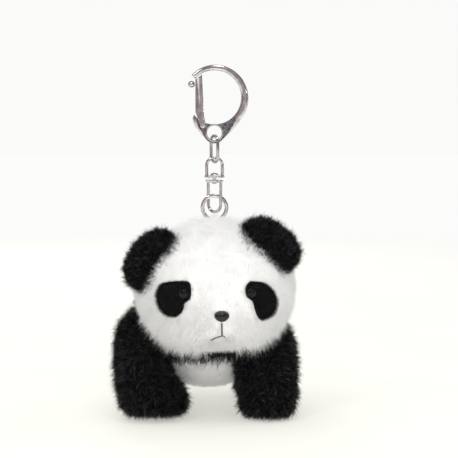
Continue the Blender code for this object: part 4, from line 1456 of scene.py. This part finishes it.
def mouth():
    bm = bmesh.new()
    for path, share in zip(mouth_paths(), (1.0, 0.8, 0.6)):
        bm.from_mesh(twisted("mouth", path, THREAD_RADIUS * share))
    tones = [(0.3, (0.030, 0.022, 0.020)), (0.7, (0.105, 0.080, 0.074))]
    fibres = (5200.0, 4.0, 0.55, 0.4)
    dye = mottled("thread_brown", tones, fibres, relief=(fibres, 0.4, 0.0001), Roughness=0.75)
    fit("mouth_stitches", mesh_from(bm, "mouth"), dye, "brown_thread", "mouth_thread")


def ribbon():
    """Woven tape folded over the split ring, with both ends sewn into the crown."""
    top = joint_at("plush_swing").z
    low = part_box("hanger_ribbon")[0].z - RIBBON_SUNK
    outer_radius = RIBBON_INNER + RIBBON_THICKNESS
    outer = arc((0.0, top), outer_radius, 0.0, pi, 24)
    inner = arc((0.0, top), RIBBON_INNER, pi, 0.0, 24)
    outline = [(outer_radius, low), *outer, (-outer_radius, low)]
    outline += [(-RIBBON_INNER, low), *inner, (RIBBON_INNER, low)]
    mesh = plate("ribbon", [outline], RIBBON_WIDTH, 0.12 * MM, 2)
    mesh.transform(Matrix.Rotation(radians(90), 4, "Z"))
    fit("ribbon_loop", mesh, woven("tape_white"), "white_ribbon", "hanger_ribbon")


def washers():
    """The snap washers behind the eyes and the nose keep their CAD shape and get milky nylon."""
    tones = [(0.3, (0.70, 0.69, 0.65)), (0.7, (0.80, 0.79, 0.76))]
    polish, relief = ((2800.0,), 0.3, 0.5), ((2800.0,), 0.2, 0.00003)
    nylon = mottled("nylon_white", tones, (380.0,), polish, relief, Specular_IOR_Level=0.4)
    for name in ("eye_left_washer", "eye_right_washer", "nose_washer"):
        for holder in bpy.data.objects[name].material_slots:
            holder.material = nylon


# ---------------------------------------------------------------- stage


def stage():
    """A pale floor with painted light: it glows, warmer near the toy, which lifts the shadows there,
    and further out its glow rises to match the world.
    """
    paint, tree, shader = new_material("floor_white", Roughness=0.9, Specular_IOR_Level=0.1)
    tones = [(0.3, (0.43, 0.428, 0.402)), (0.7, (0.46, 0.458, 0.436))]
    glows = [(0.0, (1.0, 0.985, 0.91)), (1.0, (1.0, 0.998, 0.99))]
    colour = ramp(tree, noise(tree, 14.0, 4.0), tones)
    inputs = {0: object_place(tree)}
    distance = node(tree, "ShaderNodeVectorMath", inputs, operation="LENGTH").outputs["Value"]
    away = spread(tree, distance, 0.0, 1.0, *FLOOR_FADE)
    glow = spread(tree, away, FLOOR_GLOW, WORLD_LIGHT, 0.0, 1.0)
    faded = mix(tree, away, colour, (0.0, 0.0, 0.0, 1.0))
    tree.links.new(faded, shader.inputs["Base Color"])
    # Painted light: the floor's glow, warmer near the toy, lightens the shadows cast on it.
    tree.links.new(ramp(tree, away, glows), shader.inputs["Emission Color"])
    tree.links.new(glow, shader.inputs["Emission Strength"])
    bm = bmesh.new()
    bmesh.ops.create_circle(bm, cap_ends=True, segments=96, radius=FLOOR_RADIUS)
    bmesh.ops.translate(bm, vec=(0, 0, SOLE_Z - 0.2 * MM), verts=bm.verts)
    piece("floor", mesh_from(bm, "floor"), paint)


def card_paint(name, dark, light):
    stops = [(0.3, dark), (0.7, light)]
    return mottled(name, stops, (2.0,), Roughness=1.0, Specular_IOR_Level=0.0)


def cards():
    """Cards that only the polished surfaces see, as (bearing, width, height, paint)."""
    dark = card_paint("card_dark", (0.008, 0.006, 0.006), (0.03, 0.022, 0.02))
    grey = card_paint("card_grey", (0.36, 0.31, 0.31), (0.48, 0.42, 0.42))
    white = card_paint("card_white", (0.80, 0.79, 0.78), (0.88, 0.87, 0.86))
    rows = [
        (0, 0.5, 0.1, grey), (52, 0.6, 1.1, dark), (93, 0.36, 1.1, white), (150, 0.8, 1.1, dark),
        (-50, 0.46, 1.1, dark), (-88, 0.42, 1.1, white), (-148, 0.8, 1.1, dark),
    ]  # fmt: skip
    upright = Matrix.Translation((0.0, -CARD_DISTANCE, 0.0)) @ Matrix.Rotation(pi / 2, 4, "X")
    for number, (bearing, width, height, paint) in enumerate(rows):
        bm = bmesh.new()
        bmesh.ops.create_grid(bm, x_segments=2, y_segments=2, size=0.5)
        place = Matrix.Rotation(radians(bearing), 4, "Z") @ upright
        place = place @ Matrix.Diagonal((width, height, 1.0, 1.0))
        bmesh.ops.transform(bm, matrix=place, verts=bm.verts)
        card = piece(f"card_{number}", mesh_from(bm, "card"), paint)
        card.visible_camera = False
        card.visible_diffuse = False
        card.visible_shadow = False


# Round lights, as name, place, size in metres and power in watts; only glints show in the polish
LIGHTS = [
    ("key", (-0.40, -0.60, 0.55), 0.5, 0.4),
    ("fill", (0.16, -0.80, -0.10), 0.6, 1.9),
    ("back", (-0.20, 0.85, 0.32), 0.6, 2.6),
    ("bounce", (0.02, -0.34, -0.132), 0.05, 0.22),
    ("glint_left", (-0.30, -0.50, 0.42), 0.18, 0.7),
    ("glint_top", (0.04, -0.26, 0.40), 0.16, 0.5),
    ("glint_right", (0.45, -0.42, 0.10), 0.08, 0.18),
]


def lights():
    for name, spot, size, power in LIGHTS:
        data = bpy.data.lights.new(name, "AREA")
        data.shape = "DISK"
        data.size = size
        data.energy = power
        made = piece(name, data)
        made.location = spot
        made.rotation_euler = (LIGHT_AIM - Vector(spot)).to_track_quat("-Z", "Y").to_euler()
        made.visible_glossy = name.startswith("glint")


def world():
    """An even white studio, dimmer in reflections than where it lights the toy."""
    studio = bpy.data.worlds.new("studio")
    studio.use_nodes = True
    tree = studio.node_tree
    background = tree.nodes["Background"]
    background.inputs["Color"].default_value = (1.0, 0.998, 0.99, 1.0)
    polished = node(tree, "ShaderNodeLightPath").outputs["Is Glossy Ray"]
    strength = spread(tree, polished, WORLD_LIGHT, REFLECTED_LIGHT, 0.0, 1.0)
    tree.links.new(strength, background.inputs["Strength"])
    bpy.context.scene.world = studio
    bpy.context.scene.view_settings.view_transform = "Standard"


def camera():
    data = bpy.data.cameras.new("camera")
    data.lens = CAMERA_LENS
    data.clip_start = 0.01
    made = piece("camera", data)
    back = Vector((0.0, -cos(CAMERA_ELEVATION), sin(CAMERA_ELEVATION)))
    up = Vector((0.0, sin(CAMERA_ELEVATION), cos(CAMERA_ELEVATION)))
    made.location = CAMERA_TARGET + back * CAMERA_DISTANCE
    aim = CAMERA_TARGET + Vector((AIM_OFFSET[0], 0.0, 0.0)) + up * AIM_OFFSET[1]
    made.rotation_euler = (aim - made.location).to_track_quat("-Z", "Y").to_euler()
    bpy.context.scene.camera = made


camera()
for build in (
    clasp_body, clasp_gate, thumb_ball, gate_pin, gate_spring, chain_link, swivel, split_ring,
    head, ears, shoulders, torso, legs, tail, eye_patches, eyes, nose, mouth, ribbon, washers,
    stage, cards, lights, world,
):  # fmt: skip
    build()
